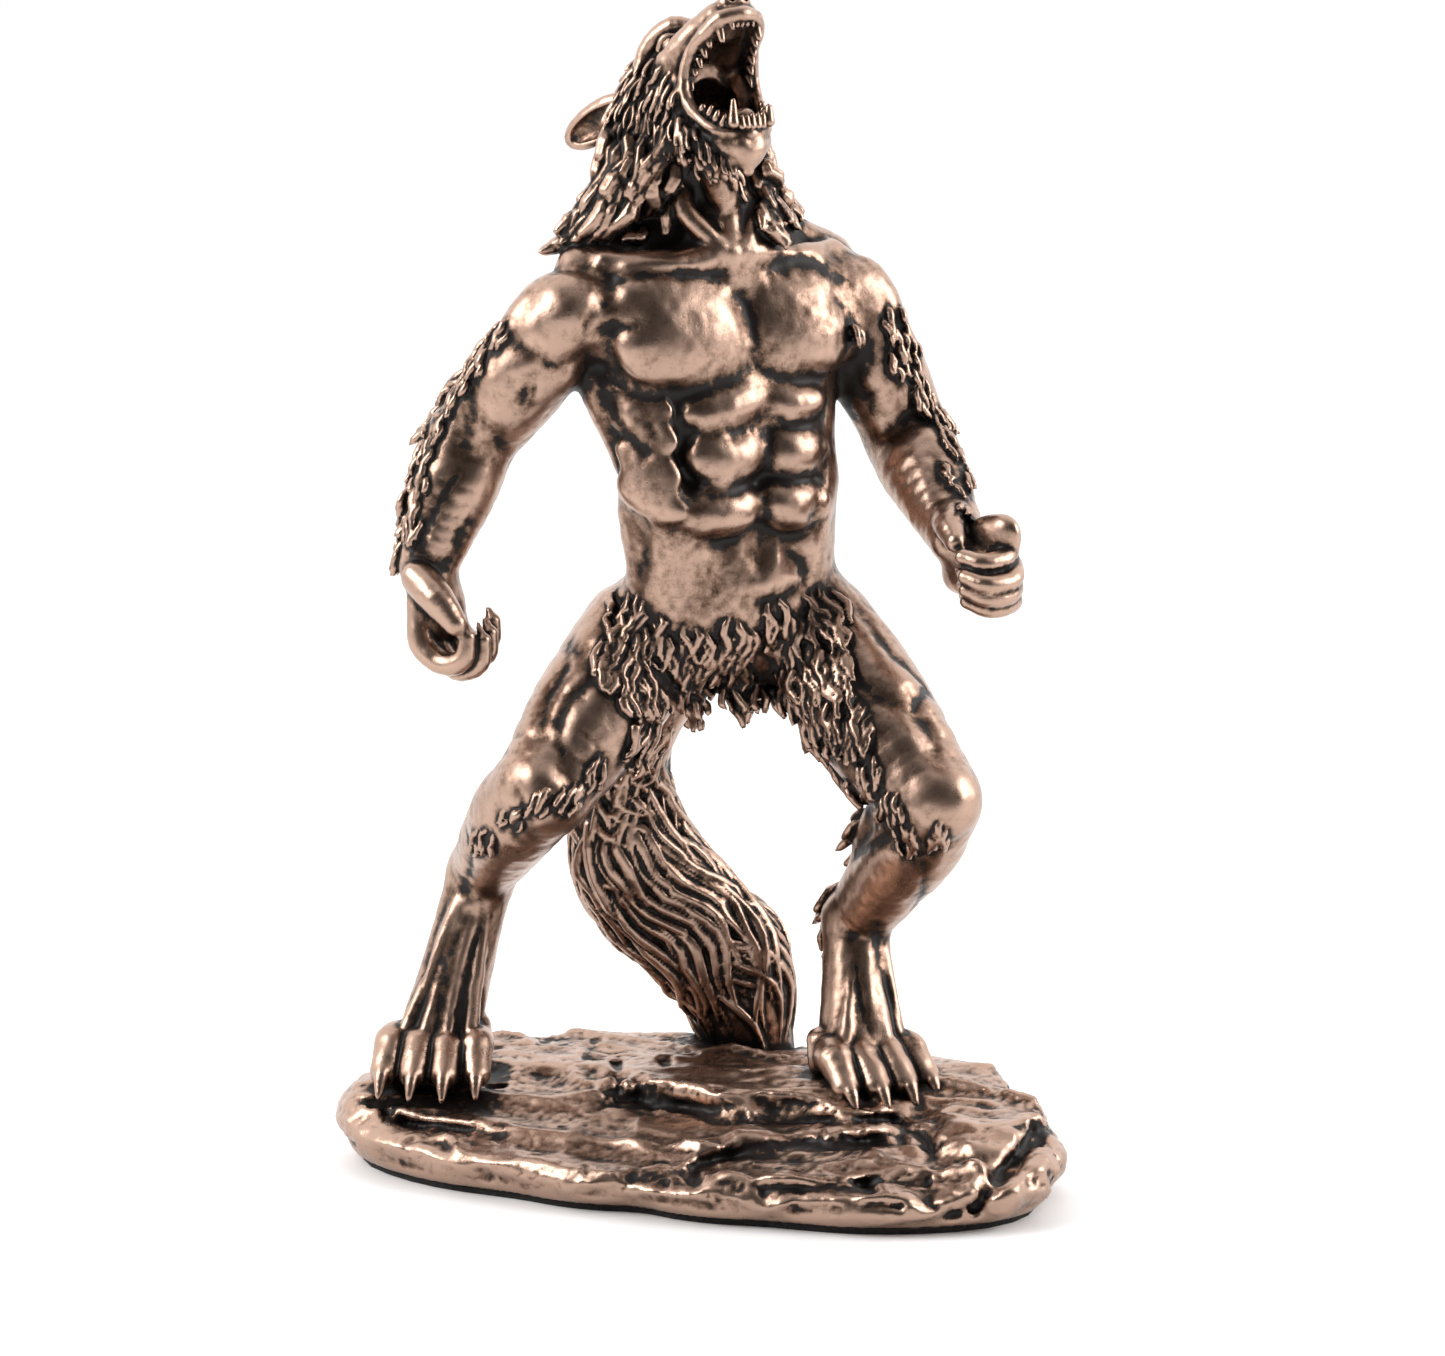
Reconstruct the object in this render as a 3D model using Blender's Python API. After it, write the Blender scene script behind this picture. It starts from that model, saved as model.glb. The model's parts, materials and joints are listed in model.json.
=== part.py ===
"""Howling werewolf figurine: a cold-cast bronze figure on its rock, with a felt pad under it.

Run it with blender --background --python part.py, or from Blender's text editor.
Metres, +Z up. The figure looks towards -Y, and the origin is on the table under its middle.
Lengths of the figure are in shares: it is 214.5 shares tall, so a share is close to a millimetre.
"""

import math

import bmesh
import bpy
import numpy as np
from mathutils import Matrix, Vector

# Driving dimensions, in metres
FIGURE_HEIGHT = 0.2145
ROCK_LENGTH = 0.140
ROCK_DEPTH = 0.092
ROCK_BACK_HEIGHT = 0.0164
ROCK_FRONT_HEIGHT = 0.0090
FELT_THICKNESS = 0.0012
FELT_INSET = 0.0012
GLUE_GAP = 0.0003

# How finely the solids are cut
CLAY_VOXEL = 0.0013
CASTING_TRIANGLES = 9400

FIGURE_SHARES = 214.5
SHARE = FIGURE_HEIGHT / FIGURE_SHARES
# Middle of the whole figure in plan, in shares: the origin stands under it
MIDDLE_X = -1.7
MIDDLE_Y = 2.6
FAR = 1e3

LEFT = 1
RIGHT = -1


def unit(vector):
    vector = np.asarray(vector, float)
    return vector / np.linalg.norm(vector)


def vec(*numbers):
    return np.array(numbers, float)


def flowing(points, pieces=3):
    """The points of a smooth curve through the given ones. Radii may ride along as a fourth number."""
    points = np.asarray(points, float)
    padded = np.vstack([2 * points[0] - points[1], points, 2 * points[-1] - points[-2]])
    run = []
    for before, start, end, after in zip(padded[:-3], padded[1:-2], padded[2:-1], padded[3:]):
        for share in np.arange(pieces) / pieces:
            bend = (2 * before - 5 * start + 4 * end - after) * share**2
            twist = (3 * start - before - 3 * end + after) * share**3
            run.append((2 * start + (end - before) * share + bend + twist) / 2)
    return np.array(run + [points[-1]])


class Frame:
    """A turned set of axes: side is the figure's left, front is where it faces, up is up."""

    def __init__(self, origin, azimuth=0.0, pitch=0.0, roll=0.0):
        turn, tip, lean = (math.radians(angle) for angle in (azimuth, pitch, roll))
        front = vec(math.sin(turn), -math.cos(turn), 0)
        side = vec(math.cos(turn), math.sin(turn), 0)
        up = vec(0, 0, 1)
        front, up = front * math.cos(tip) + up * math.sin(tip), up * math.cos(tip) - front * math.sin(tip)
        side, up = side * math.cos(lean) - up * math.sin(lean), up * math.cos(lean) + side * math.sin(lean)
        self.origin = np.asarray(origin, float)
        self.axes = np.array([side, front, up])

    def at(self, side, front, up):
        return self.origin + vec(side, front, up) @ self.axes

    def way(self, side, front, up):
        return unit(vec(side, front, up) @ self.axes)


class Ball:
    """An ellipsoid. Its axes are rows: along, across and through."""

    def __init__(self, centre, radii, axes=None):
        self.centre = np.asarray(centre, float)
        self.radii = np.asarray(radii, float)
        self.axes = np.eye(3) if axes is None else np.asarray(axes, float)
        self.reach = float(self.radii.max())

    def distance(self, points):
        local = (points - self.centre) @ self.axes.T
        inner = np.linalg.norm(local / self.radii, axis=1)
        slope = np.linalg.norm(local / self.radii**2, axis=1)
        return inner * (inner - 1) / np.maximum(slope, 1e-9)

    def blank(self, block):
        turn = Matrix(self.axes.T.tolist())
        matrix = Matrix.LocRotScale(Vector(self.centre), turn, Vector(self.radii))
        bmesh.ops.create_icosphere(block, subdivisions=3, radius=1, matrix=matrix)


class Limb:
    """A round rope of clay through points, with a radius at each, wider along one direction."""

    def __init__(self, points, radii, wide=1.0, across=(1, 0, 0)):
        self.points = np.asarray(points, float)
        self.radii = np.asarray(radii, float)
        self.across = unit(across)
        self.wide = wide
        self.centre = (self.points.min(0) + self.points.max(0)) / 2
        ends = np.linalg.norm(self.points - self.centre, axis=1) + self.radii * max(wide, 1)
        self.reach = float(ends.max())

    def narrowed(self, points):
        middle = points - self.centre
        return middle - np.outer(middle @ self.across, self.across) * (1 - 1 / self.wide)

    def distance(self, points):
        local = self.narrowed(points)
        joints = self.narrowed(self.points)
        nearest = np.full(len(points), FAR)
        pairs = zip(joints[:-1], joints[1:], self.radii[:-1], self.radii[1:])
        for start, end, thick, thin in pairs:
            run = end - start
            share = np.clip((local - start) @ run / (run @ run), 0, 1)
            gap = np.linalg.norm(local - start - np.outer(share, run), axis=1)
            nearest = np.minimum(nearest, gap - thick - (thin - thick) * share)
        return nearest

    def blank(self, block):
        widen = Matrix.Scale(self.wide, 4, Vector(self.across))
        move = Matrix.Translation(Vector(self.centre)) @ widen
        joints = self.narrowed(self.points)
        for joint, radius in zip(joints, self.radii):
            place = move @ Matrix.Translation(Vector(joint))
            bmesh.ops.create_icosphere(block, subdivisions=2, radius=radius, matrix=place)
        pairs = zip(joints[:-1], joints[1:], self.radii[:-1], self.radii[1:])
        for start, end, thick, thin in pairs:
            run = Vector(end - start)
            turn = run.to_track_quat("Z", "X").to_matrix().to_4x4()
            place = move @ Matrix.Translation(Vector((start + end) / 2)) @ turn
            bmesh.ops.create_cone(
                block,
                cap_ends=True,
                segments=12,
                radius1=thick,
                radius2=thin,
                depth=run.length,
                matrix=place
            )


class Rock:
    """A low boulder: a closed outline in plan, a top that falls to the front, and ledges."""

    # Outline in plan, in shares of half the length and half the depth, from the left end round the front
    OUTLINE = (
        (-1.06, 0.34), (-0.90, -0.08), (-0.57, -0.39), (-0.19, -0.65), (0.20, -0.87), (0.60, -0.98),
        (0.88, -0.84), (0.97, -0.58), (0.96, -0.10), (0.84, 0.36), (0.53, 0.70), (0.14, 0.94),
        (-0.22, 1.00), (-0.60, 0.96), (-0.89, 0.74),
    )

    def __init__(self, length, depth, back, front):
        self.half = vec(length, depth) / 2
        self.back, self.front = back, front
        self.centre = vec(0, 0, back / 2)
        self.reach = float(max(self.half)) * 1.3 + back
        corners = np.array(self.OUTLINE) * self.half
        turns = np.arctan2(corners[:, 1], corners[:, 0])
        order = np.argsort(turns)
        self.turns = turns[order]
        self.radii = np.linalg.norm(corners, axis=1)[order]

    def edge(self, turn):
        """How far out the rim lies towards each direction, the corners rounded over."""
        total = np.zeros_like(turn)
        for shift in np.linspace(-0.12, 0.12, 7):
            total += np.interp(turn + shift, self.turns, self.radii, period=2 * math.pi)
        return total / 7

    def top(self, x, y):
        slope = (y + 0.33 * x + 26) / 55
        share = np.clip(slope, 0, 1)
        height = self.front + (self.back - self.front) * share**0.7
        # The flat slab in the middle, and two ledges in front of it
        slab = np.hypot((x - 16) / 34, (y - 12 + 0.2 * x) / 17) - 1
        height = height + 1.5 * np.clip(-slab * 6, 0, 1)
        for place, drop in ((-0.02, 0.9), (-0.2, 0.8)):
            wave = 0.05 * np.sin(x / 9 + place * 20)
            height = height - drop * np.clip((place + 0.42 + wave - share) * 14, 0, 1)
        return height

    def distance(self, points):
        x, y, z = points.T
        out = (np.hypot(x, y) - self.edge(np.arctan2(y, x))) * 0.9
        rim = out + 2.5 - 2.5 * np.clip(1 - ((z - 5.5) / 6.5) ** 2, 0, 1)
        roof = z - self.top(x, y)
        soft = 4.0
        overlap = np.maximum(soft - np.abs(rim - roof), 0) / soft
        return np.maximum(np.maximum(rim, roof) + overlap**2 * soft / 4, -z)

    def blank(self, block):
        around = np.linspace(-math.pi, math.pi, 48, endpoint=False)
        rings = []
        for share, lift in ((0.0, 1), (0.3, 1), (0.6, 1), (0.85, 1), (0.97, 0.6), (0.97, 0.0)):
            x, y = np.cos(around) * self.edge(around) * share, np.sin(around) * self.edge(around) * share
            rings.append([block.verts.new(place) for place in zip(x, y, self.top(x, y) * lift)])
        for inner, outer in zip(rings[:-1], rings[1:]):
            for first in range(48):
                second = (first + 1) % 48
                block.faces.new((inner[first], outer[first], outer[second], inner[second]))
        block.faces.new(rings[0])
        block.faces.new(list(reversed(rings[-1])))


class Clay:
    """Forms put on one after another, each blending into what is already there."""

    def __init__(self):
        self.steps = []

    def put(self, form, blend=1.2, kind="add", depth=0.0):
        self.steps.append((form, blend, kind, depth))

    def ball(self, centre, radii, frame=None, blend=1.2, kind="add"):
        self.put(Ball(centre, radii, None if frame is None else frame.axes), blend, kind)

    def belly(self, start, end, width, thick, out, blend=1.0, kind="add"):
        """A muscle: an ellipsoid from start to end, flattened along out."""
        start, end = np.asarray(start, float), np.asarray(end, float)
        along = unit(end - start)
        through = unit(np.asarray(out, float) - along * (along @ np.asarray(out, float)))
        across = np.cross(through, along)
        radii = (np.linalg.norm(end - start) / 2, width, thick)
        self.put(Ball((start + end) / 2, radii, [along, across, through]), blend, kind)

    def limb(self, points, radii, blend=1.2, wide=1.0, across=(1, 0, 0), kind="add"):
        self.put(Limb(points, radii, wide, across), blend, kind)

    def crease(self, points, width, depth):
        """A soft groove along points. A negative depth raises a ridge."""
        self.put(Limb(points, [0.0] * len(points)), width, "crease", depth)

    def field(self, points):
        """How far each point lies outside the blended surface."""
        value = np.full(len(points), FAR)
        for form, blend, kind, depth in self.steps:
            reach = form.reach + blend * 2.5 + 3
            near = np.flatnonzero(((points - form.centre) ** 2).sum(1) < reach**2)
            if not len(near):
                continue
            there, gap = value[near], form.distance(points[near])
            if kind == "crease":
                value[near] = there + depth * np.exp(-((gap / blend) ** 2))
                continue
            if kind == "dig":
                there, gap = -there, gap
            overlap = np.maximum(blend - np.abs(there - gap), 0) / blend
            joined = np.minimum(there, gap) - overlap**2 * blend / 4
            value[near] = -joined if kind == "dig" else joined
        return value

    def blank(self):
        """All the added forms as one mesh of overlapping blocks."""
        spots, faces = [], []
        for form, _, kind, _ in self.steps:
            if kind != "add":
                continue
            block = bmesh.new()
            form.blank(block)
            block.verts.index_update()
            first = len(spots)
            spots += [vert.co[:] for vert in block.verts]
            faces += [[first + vert.index for vert in face.verts] for face in block.faces]
            block.free()
        mesh = bpy.data.meshes.new("blank")
        mesh.from_pydata(spots, [], faces)
        return mesh


# Places on the figure, in shares: x to the viewer's right, y away from the viewer, z above the table
PELVIS = Frame((5.6, 15, 105), azimuth=25)
WAIST = Frame((5.6, 12.5, 128), azimuth=29)
CHEST = Frame((3.2, 10, 159), azimuth=28, pitch=6)
HEAD = Frame((-3.4, 6.2, 212.8), azimuth=31, pitch=38)

SHOULDERS = {RIGHT: vec(-25.6, -3, 169.4), LEFT: vec(27.8, 23, 170.0)}
ELBOWS = {RIGHT: vec(-46.0, 7, 144), LEFT: vec(40.0, 27, 142)}
WRISTS = {RIGHT: vec(-53.4, 1, 120.0), LEFT: vec(49.2, 3, 125.5)}
HIPS = {RIGHT: vec(-12.5, 14, 103), LEFT: vec(21.8, 19, 103)}
KNEES = {RIGHT: vec(-31.0, -5, 77.5), LEFT: vec(43.4, -4, 75)}
HOCKS = {RIGHT: vec(-44.0, 23, 55), LEFT: vec(29.0, 19, 46)}
FEET = {RIGHT: vec(-52.0, 18, 22), LEFT: vec(30.6, 9, 22.5)}
HEADINGS = {RIGHT: -6.0, LEFT: 30.0}
SOLE = 14.0


def torso(clay):
    clay.ball(PELVIS.at(0, -1, 2), (22.5, 12.5, 14), PELVIS, blend=5)
    clay.ball(WAIST.at(0, -0.5, 2), (20.8, 12.5, 25), WAIST, blend=6)
    clay.ball(CHEST.at(0, -2, -1), (23.6, 14.5, 25), CHEST, blend=7)
    clay.ball(CHEST.at(0, -3, 14), (27, 10, 8.5), CHEST, blend=5)
    clay.ball(WAIST.at(0, -1, -13), (21.6, 12.4, 13), WAIST, blend=6)
    # Soft belly below the navel
    clay.ball(WAIST.at(0, 5.5, -8), (12, 7.5, 14), WAIST, blend=3)
    for hand in (RIGHT, LEFT):
        # Broad muscle of the back, seen at the side under the arm
        clay.limb(
            [
                CHEST.at(hand * 22.5, -5, 12),
                CHEST.at(hand * 23.5, -4.5, -1),
                CHEST.at(hand * 19.0, -4, -18),
            ],
            [6.5, 5.2, 3.0],
            blend=4,
        )
        # Trapezius, from the neck out to the shoulder
        clay.limb(
            [CHEST.at(hand * 5, -4, 31), CHEST.at(hand * 13, -5, 22), CHEST.at(hand * 26, -4, 18)],
            [5, 5.5, 4.5],
            blend=3,
        )
        # Collar bone
        clay.limb(
            [
                CHEST.at(hand * 2.5, 10.5, 21.0),
                CHEST.at(hand * 12, 8.4, 20.0),
                CHEST.at(hand * 25, 2, 20.5),
            ],
            [1.9, 1.5, 2.0],
            blend=1.6,
        )
        # Chest muscle, with the fan of it under the collar bone and its edge to the armpit
        clay.ball(CHEST.at(hand * 12.0, 8.4, 5.6), (13.2, 5.9, 10.0), CHEST, blend=1.2)
        clay.ball(CHEST.at(hand * 12.5, 6.2, 11.0), (12.8, 6.0, 9.0), CHEST, blend=3.0)
        clay.belly(
            CHEST.at(hand * 9, 8, 7),
            CHEST.at(hand * 28, 0.5, 9),
            7.0,
            5.6,
            CHEST.way(hand * 0.4, 1, 0),
            blend=1.2
        )
        # Belly muscles in three rows, wide at the top
        for row, height in enumerate((-7.2, -16.6, -26.0)):
            width = 8.4 - 0.6 * row
            clay.ball(
                CHEST.at(hand * (7.3 - 0.35 * row), 9.2 - 0.2 * row, height),
                (width, 4.0, 5.2),
                CHEST,
                blend=1.5
            )
        # Slips of muscle over the ribs
        for slip in range(4):
            clay.belly(
                CHEST.at(hand * (24.5 - 0.8 * slip), 0, -1 - 6.5 * slip),
                CHEST.at(hand * (14.5 - 0.2 * slip), 10.4, -9 - 6.5 * slip),
                3.4, 2.1, CHEST.way(hand, 1, 0), blend=1.6,
            )
        # Flank muscle down to the rim of the hip, and the groove that ends it
        clay.belly(
            CHEST.at(hand * 18.5, 2, -20),
            WAIST.at(hand * 14.5, 4.5, -12),
            9.0,
            4.0,
            WAIST.way(hand, 0.6, 0),
            blend=5
        )
        clay.crease(
            [WAIST.at(hand * 17, 7, -13), WAIST.at(hand * 12.5, 11.5, -18), WAIST.at(hand * 7, 12.5, -24)],
            1.6,
            0.6
        )
        # Back: shoulder blades and the long muscles beside the spine
        clay.ball(CHEST.at(hand * 14, -12, 8), (9.5, 4.5, 11), CHEST, blend=2)
        clay.limb(
            [CHEST.at(hand * 5.5, -12, 2), WAIST.at(hand * 5, -10, 2), PELVIS.at(hand * 6, -9, 4)],
            [4, 4, 4.5],
            blend=2.5,
        )
        clay.ball(PELVIS.at(hand * 8.5, -7.5, -6), (9.5, 8.5, 10), PELVIS, blend=2.5)
    # Line down the middle of the belly, and the navel
    clay.crease(
        [CHEST.at(0, 14, 14), CHEST.at(0, 15, 0), CHEST.at(0, 13, -12), CHEST.at(0, 12.5, -30)], 1.2, 0.9
    )
    clay.ball(WAIST.at(0, 13.2, -3.4), (1.0, 1.6, 1.7), WAIST, blend=0.6, kind="dig")


def neck_and_head(clay):
    clay.limb([CHEST.at(0, 1, 20), CHEST.at(-0.5, 0, 34), HEAD.at(0, -7, -6)], [10.5, 9, 8.5], blend=4)
    clay.limb([CHEST.at(0, -5, 25), HEAD.at(0, -11, -1)], [9, 8], blend=4)
    for hand in (RIGHT, LEFT):
        # Cords of the throat
        clay.limb(
            [HEAD.at(hand * 7, -9, -12), CHEST.at(hand * 6.5, 7, 31), CHEST.at(hand * 2.4, 11.5, 22)],
            [2.2, 2.2, 1.5],
            blend=1.2,
        )
    clay.limb([HEAD.at(0, -1, -16), CHEST.at(0, 8.5, 30), CHEST.at(0, 9, 24)], [3.2, 2.8, 2.4], blend=1.2)

    clay.ball(HEAD.at(0, -1.5, 0.5), (9.4, 11.0, 8.2), HEAD, blend=3)
    # Upper jaw: the bridge, the two lips and the nose
    clay.limb([HEAD.at(0, 4, 2.5), HEAD.at(0, 12, 2.2), HEAD.at(0, 19.5, 1.2)], [5.0, 4.0, 3.1], blend=2.5)
    clay.ball(HEAD.at(0, 21.6, 1.6), (2.8, 2.1, 2.0), HEAD, blend=0.8)
    for hand in (RIGHT, LEFT):
        clay.limb(
            [
                HEAD.at(hand * 8.4, 8.0, -8),
                HEAD.at(hand * 8.0, 11.0, -4),
                HEAD.at(hand * 6.2, 14.5, -1.8),
                HEAD.at(hand * 3.8, 18, -1.4),
                HEAD.at(hand * 1.3, 20.8, -1.2),
            ],
            [1.8, 1.9, 2.2, 2.1, 1.6],
            blend=1.2,
        )
        # Cheek and jaw joint
        clay.ball(HEAD.at(hand * 6.8, 0, -6), (3.4, 8.8, 8.0), HEAD, blend=2.5)
        # Lower jaw with its lip
        clay.limb(
            [
                HEAD.at(hand * 6.8, 0.5, -8),
                HEAD.at(hand * 6.4, 4.2, -13),
                HEAD.at(hand * 4.4, 7.4, -18.8),
                HEAD.at(hand * 1.2, 9.2, -21.8),
            ],
            [2.8, 2.5, 2.4, 2.2],
            blend=1.5,
        )
        clay.limb(
            [
                HEAD.at(hand * 8.4, 8.0, -8),
                HEAD.at(hand * 7.8, 10.2, -12.5),
                HEAD.at(hand * 5.2, 11.6, -18.0),
                HEAD.at(0, 12.2, -21.2),
            ],
            [1.7, 1.3, 1.2, 1.2],
            blend=0.8,
        )
        # Brow, eye socket and eye
        clay.limb(
            [HEAD.at(hand * 1.8, 8.5, 6), HEAD.at(hand * 5.2, 7.0, 6.2), HEAD.at(hand * 7.6, 2.5, 4.2)],
            [1.6, 2.0, 1.6],
            blend=1.2,
        )
        clay.ball(HEAD.at(hand * 6.4, 7.0, 2.8), (2.2, 2.6, 2.0), HEAD, blend=0.8, kind="dig")
        clay.ball(HEAD.at(hand * 5.0, 6.6, 2.8), (1.5, 1.5, 1.4), HEAD, blend=0.3)
        # Ear, laid back, with its cup
        root, tip = HEAD.at(hand * 7.4, -8.0, 4.0), HEAD.at(hand * 12.5, -21.5, -1.0)
        facing = HEAD.way(hand * 0.8, 0.8, -0.5)
        clay.belly(root, tip, 4.6, 2.6, facing, blend=1.2)
        clay.belly(root + facing * 2.4, tip + facing * 1.8, 3.0, 2.0, facing, blend=0.5, kind="dig")
    # Throat between the jaws, then the floor of the lower jaw and the tongue
    clay.ball(HEAD.at(0, 10.0, -9.5), (6.4, 9.0, 7.0), HEAD, blend=1.0, kind="dig")
    clay.ball(HEAD.at(0, 12.5, 0.5), (6.2, 10.5, 2.6), HEAD, blend=1.0)
    for hand in (RIGHT, LEFT):
        clay.limb([
            HEAD.at(hand * 7.2, 11.5, -2.5), HEAD.at(hand * 8.0, 8.5, -8), HEAD.at(hand * 7.2, 9.5, -13)
        ],
                  [1.6, 1.8, 1.6], blend=1.0)
    clay.limb([HEAD.at(0, -3, -11), HEAD.at(0, 1.5, -16), HEAD.at(0, 5.5, -20.5)], [5, 3.8, 3.0], blend=1.5)
    clay.limb(
        [HEAD.at(0, -1, -9), HEAD.at(0, 4.2, -13), HEAD.at(0, 6.5, -17)],
        [2.2, 2.2, 1.7],
        blend=0.8, wide=1.3, across=HEAD.way(1, 0, 0),
    )


def arms(clay):
    for hand in (RIGHT, LEFT):
        shoulder, elbow, wrist = SHOULDERS[hand], ELBOWS[hand], WRISTS[hand]
        out = CHEST.way(hand, 0, 0)
        front = CHEST.way(0, 1, 0)
        upper, lower = elbow - shoulder, wrist - elbow
        clay.limb([shoulder, shoulder + upper * 0.5, elbow], [8.6, 9.6, 8.4], blend=3)
        clay.limb([elbow, elbow + lower * 0.3, elbow + lower * 0.7, wrist], [8.4, 8.8, 7.0, 5.8], blend=2)
        # Shoulder cap in three heads
        for turn, size in ((-1.0, 6.6), (-0.05, 7.4), (0.95, 6.6)):
            way = unit(out * math.cos(turn) + front * math.sin(turn))
            start = shoulder + way * 2.0 + vec(0, 0, 7.5)
            end = shoulder + way * 4.2 + upper * 0.46
            clay.belly(start, end, size * 0.74, 5.8, way, blend=0.9)
        # Biceps, triceps and the muscle between them
        clay.belly(
            shoulder + upper * 0.25 + front * 4.5,
            shoulder + upper * 0.98 + front * 3.2,
            5.8,
            5.0,
            front,
            blend=0.9
        )
        behind = out * 2 - front * 3.5
        clay.belly(
            shoulder + upper * 0.15 + behind,
            shoulder + upper * 0.97 + behind,
            6.2,
            5.2,
            out - front,
            blend=1.0,
        )
        clay.belly(
            shoulder + upper * 0.4 + out * 4.5, elbow + upper * 0.02 + out * 4.2, 3.8, 3.6, out, blend=0.9
        )
        # Forearm
        clay.belly(
            elbow - lower * 0.2 + out * 3, elbow + lower * 0.72 + out * 2.8, 5.0, 5.2, out, blend=1.0
        )
        clay.belly(
            elbow - lower * 0.05 - out * 2.5, elbow + lower * 0.8 - out * 2, 4.6, 4.6, -out, blend=1.0
        )
        clay.limb([elbow + lower * 0.1 - front * 4.5, wrist - front * 2.5 + out], [3.0, 2.4], blend=1.5)


def legs(clay):
    for hand in (RIGHT, LEFT):
        hip, knee, hock, foot = HIPS[hand], KNEES[hand], HOCKS[hand], FEET[hand]
        thigh, shank, instep = knee - hip, hock - knee, foot - hock
        ahead = unit(knee - (hip + hock) / 2)
        out = unit(np.cross(thigh, ahead))
        if out[0] * hand < 0:
            out = -out
        clay.limb([hip, hip + thigh * 0.5, knee], [12.6, 12.4, 9.4], blend=4)
        clay.limb([knee, knee + shank * 0.35 + ahead * 1.5 + out, hock], [9.0, 9.4, 6.6], blend=2.5)
        clay.limb([hock, hock + instep * 0.45, foot], [6.6, 7.2, 8.4], blend=2)
        # Thigh: front, outer and inner muscles, and the hamstrings
        clay.belly(
            hip + thigh * 0.02 + ahead * 5, knee - thigh * 0.02 + ahead * 3, 6.6, 6.8, ahead, blend=0.9
        )
        clay.belly(hip + thigh * 0.1 + out * 7, knee - thigh * 0.05 + out * 4.5, 6.4, 6.0, out, blend=0.9)
        clay.belly(
            hip + thigh * 0.35 - out * 6 + ahead * 2,
            knee + thigh * 0.03 - out * 3.5 + ahead * 1.5,
            6.2,
            5.8,
            -out,
            blend=0.9,
        )
        clay.belly(hip + thigh * 0.05 - ahead * 6, knee - ahead * 5, 7.5, 6.0, -ahead, blend=1.5)
        clay.belly(hip + thigh * 0.02 + out * 3.5, hip + thigh * 0.5 + out * 6.5, 6.6, 4.6, out, blend=1.0)
        # Knee cap, calf, shin muscle and heel cord
        clay.ball(knee + ahead * 4.0, (6.2, 6.2, 7.0), blend=2.0)
        clay.belly(
            knee - shank * 0.1 - ahead * 7.0, knee + shank * 0.62 - ahead * 6.0, 6.2, 6.2, -ahead, blend=1.0
        )
        clay.belly(
            knee + ahead * 2.5 + out * 2, knee + shank * 0.9 + ahead * 2.5 + out, 5.0, 6.4, ahead, blend=1.0
        )
        heel = hock - unit(instep) * 1.5 + unit(shank - instep * 0.4) * 4.5
        clay.limb([hock - shank * 0.4 - ahead * 3, heel], [3.0, 4.2], blend=2)
        # Cords over the instep
        side = Frame((0, 0, 0), azimuth=HEADINGS[hand])
        for place in (-1.5, -0.5, 0.5, 1.5):
            clay.limb(
                [
                    hock + instep * 0.25 + side.at(place * 1.8, 5.2, 0),
                    hock + instep * 0.7 + side.at(place * 2.9, 5.8 - 0.6 * abs(place), 0),
                    foot + side.at(place * 4.2, 4.5 - abs(place), 0),
                ],
                [1.2, 1.5, 1.8],
                blend=1.2,
            )
        paw(clay, foot, HEADINGS[hand], hand)


def paw(clay, foot, heading, hand):
    """The toes spread from the ball of the foot, each with a claw that reaches the rock."""
    ground = Frame((foot[0], foot[1], SOLE), azimuth=heading)
    clay.ball(ground.at(0, 1, 4.2), (9.0, 8.0, 6.4), ground, blend=3)
    for place in range(4):
        side = (place - 1.5) * 5.4
        reach = 13.0 - abs(place - 1.5) * 1.8
        splay = side * 0.14
        knuckle = ground.at(side, reach * 0.38, 8.2)
        tip = ground.at(side + splay, reach, 3.4)
        clay.limb([ground.at(side * 0.7, -3, 6.5), knuckle, (knuckle + tip) / 2 + vec(0, 0, 0.8), tip],
                  [3.4, 3.8, 3.4, 3.0], blend=0.8)
        claw = ground.at(side + splay * 1.4, reach + 5.0, -0.6)
        clay.limb(
            [tip + vec(0, 0, 0.8), (tip + claw) / 2 + vec(0, 0, 1.6), claw], [1.9, 1.7, 0.8], blend=0.5
        )
    # Dew claw on the inner side, above the ground
    inner = -hand
    clay.limb([ground.at(inner * 7.5, -2, 10), ground.at(inner * 9.0, 0.5, 6.0)], [2.8, 2.2], blend=1.0)


# The run of the tail with its thickness
TAIL = flowing(
    [
        (*PELVIS.at(0, -11, -3), 5),
        (-11, 29, 84, 6),
        (-16, 33, 70, 8.2),
        (-12.5, 35, 56, 9.6),
        (-3.5, 37.5, 43, 10.2),
        (6.5, 38.5, 31, 9.6),
        (11.5, 38, 13, 6.5),
    ]
)
TAIL_WIDE = 1.38
TAIL_ACROSS = unit((0.85, 0, 0.5))


def tail(clay):
    clay.limb(TAIL[:, :3], TAIL[:, 3], blend=2.5, wide=TAIL_WIDE, across=TAIL_ACROSS)


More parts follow.
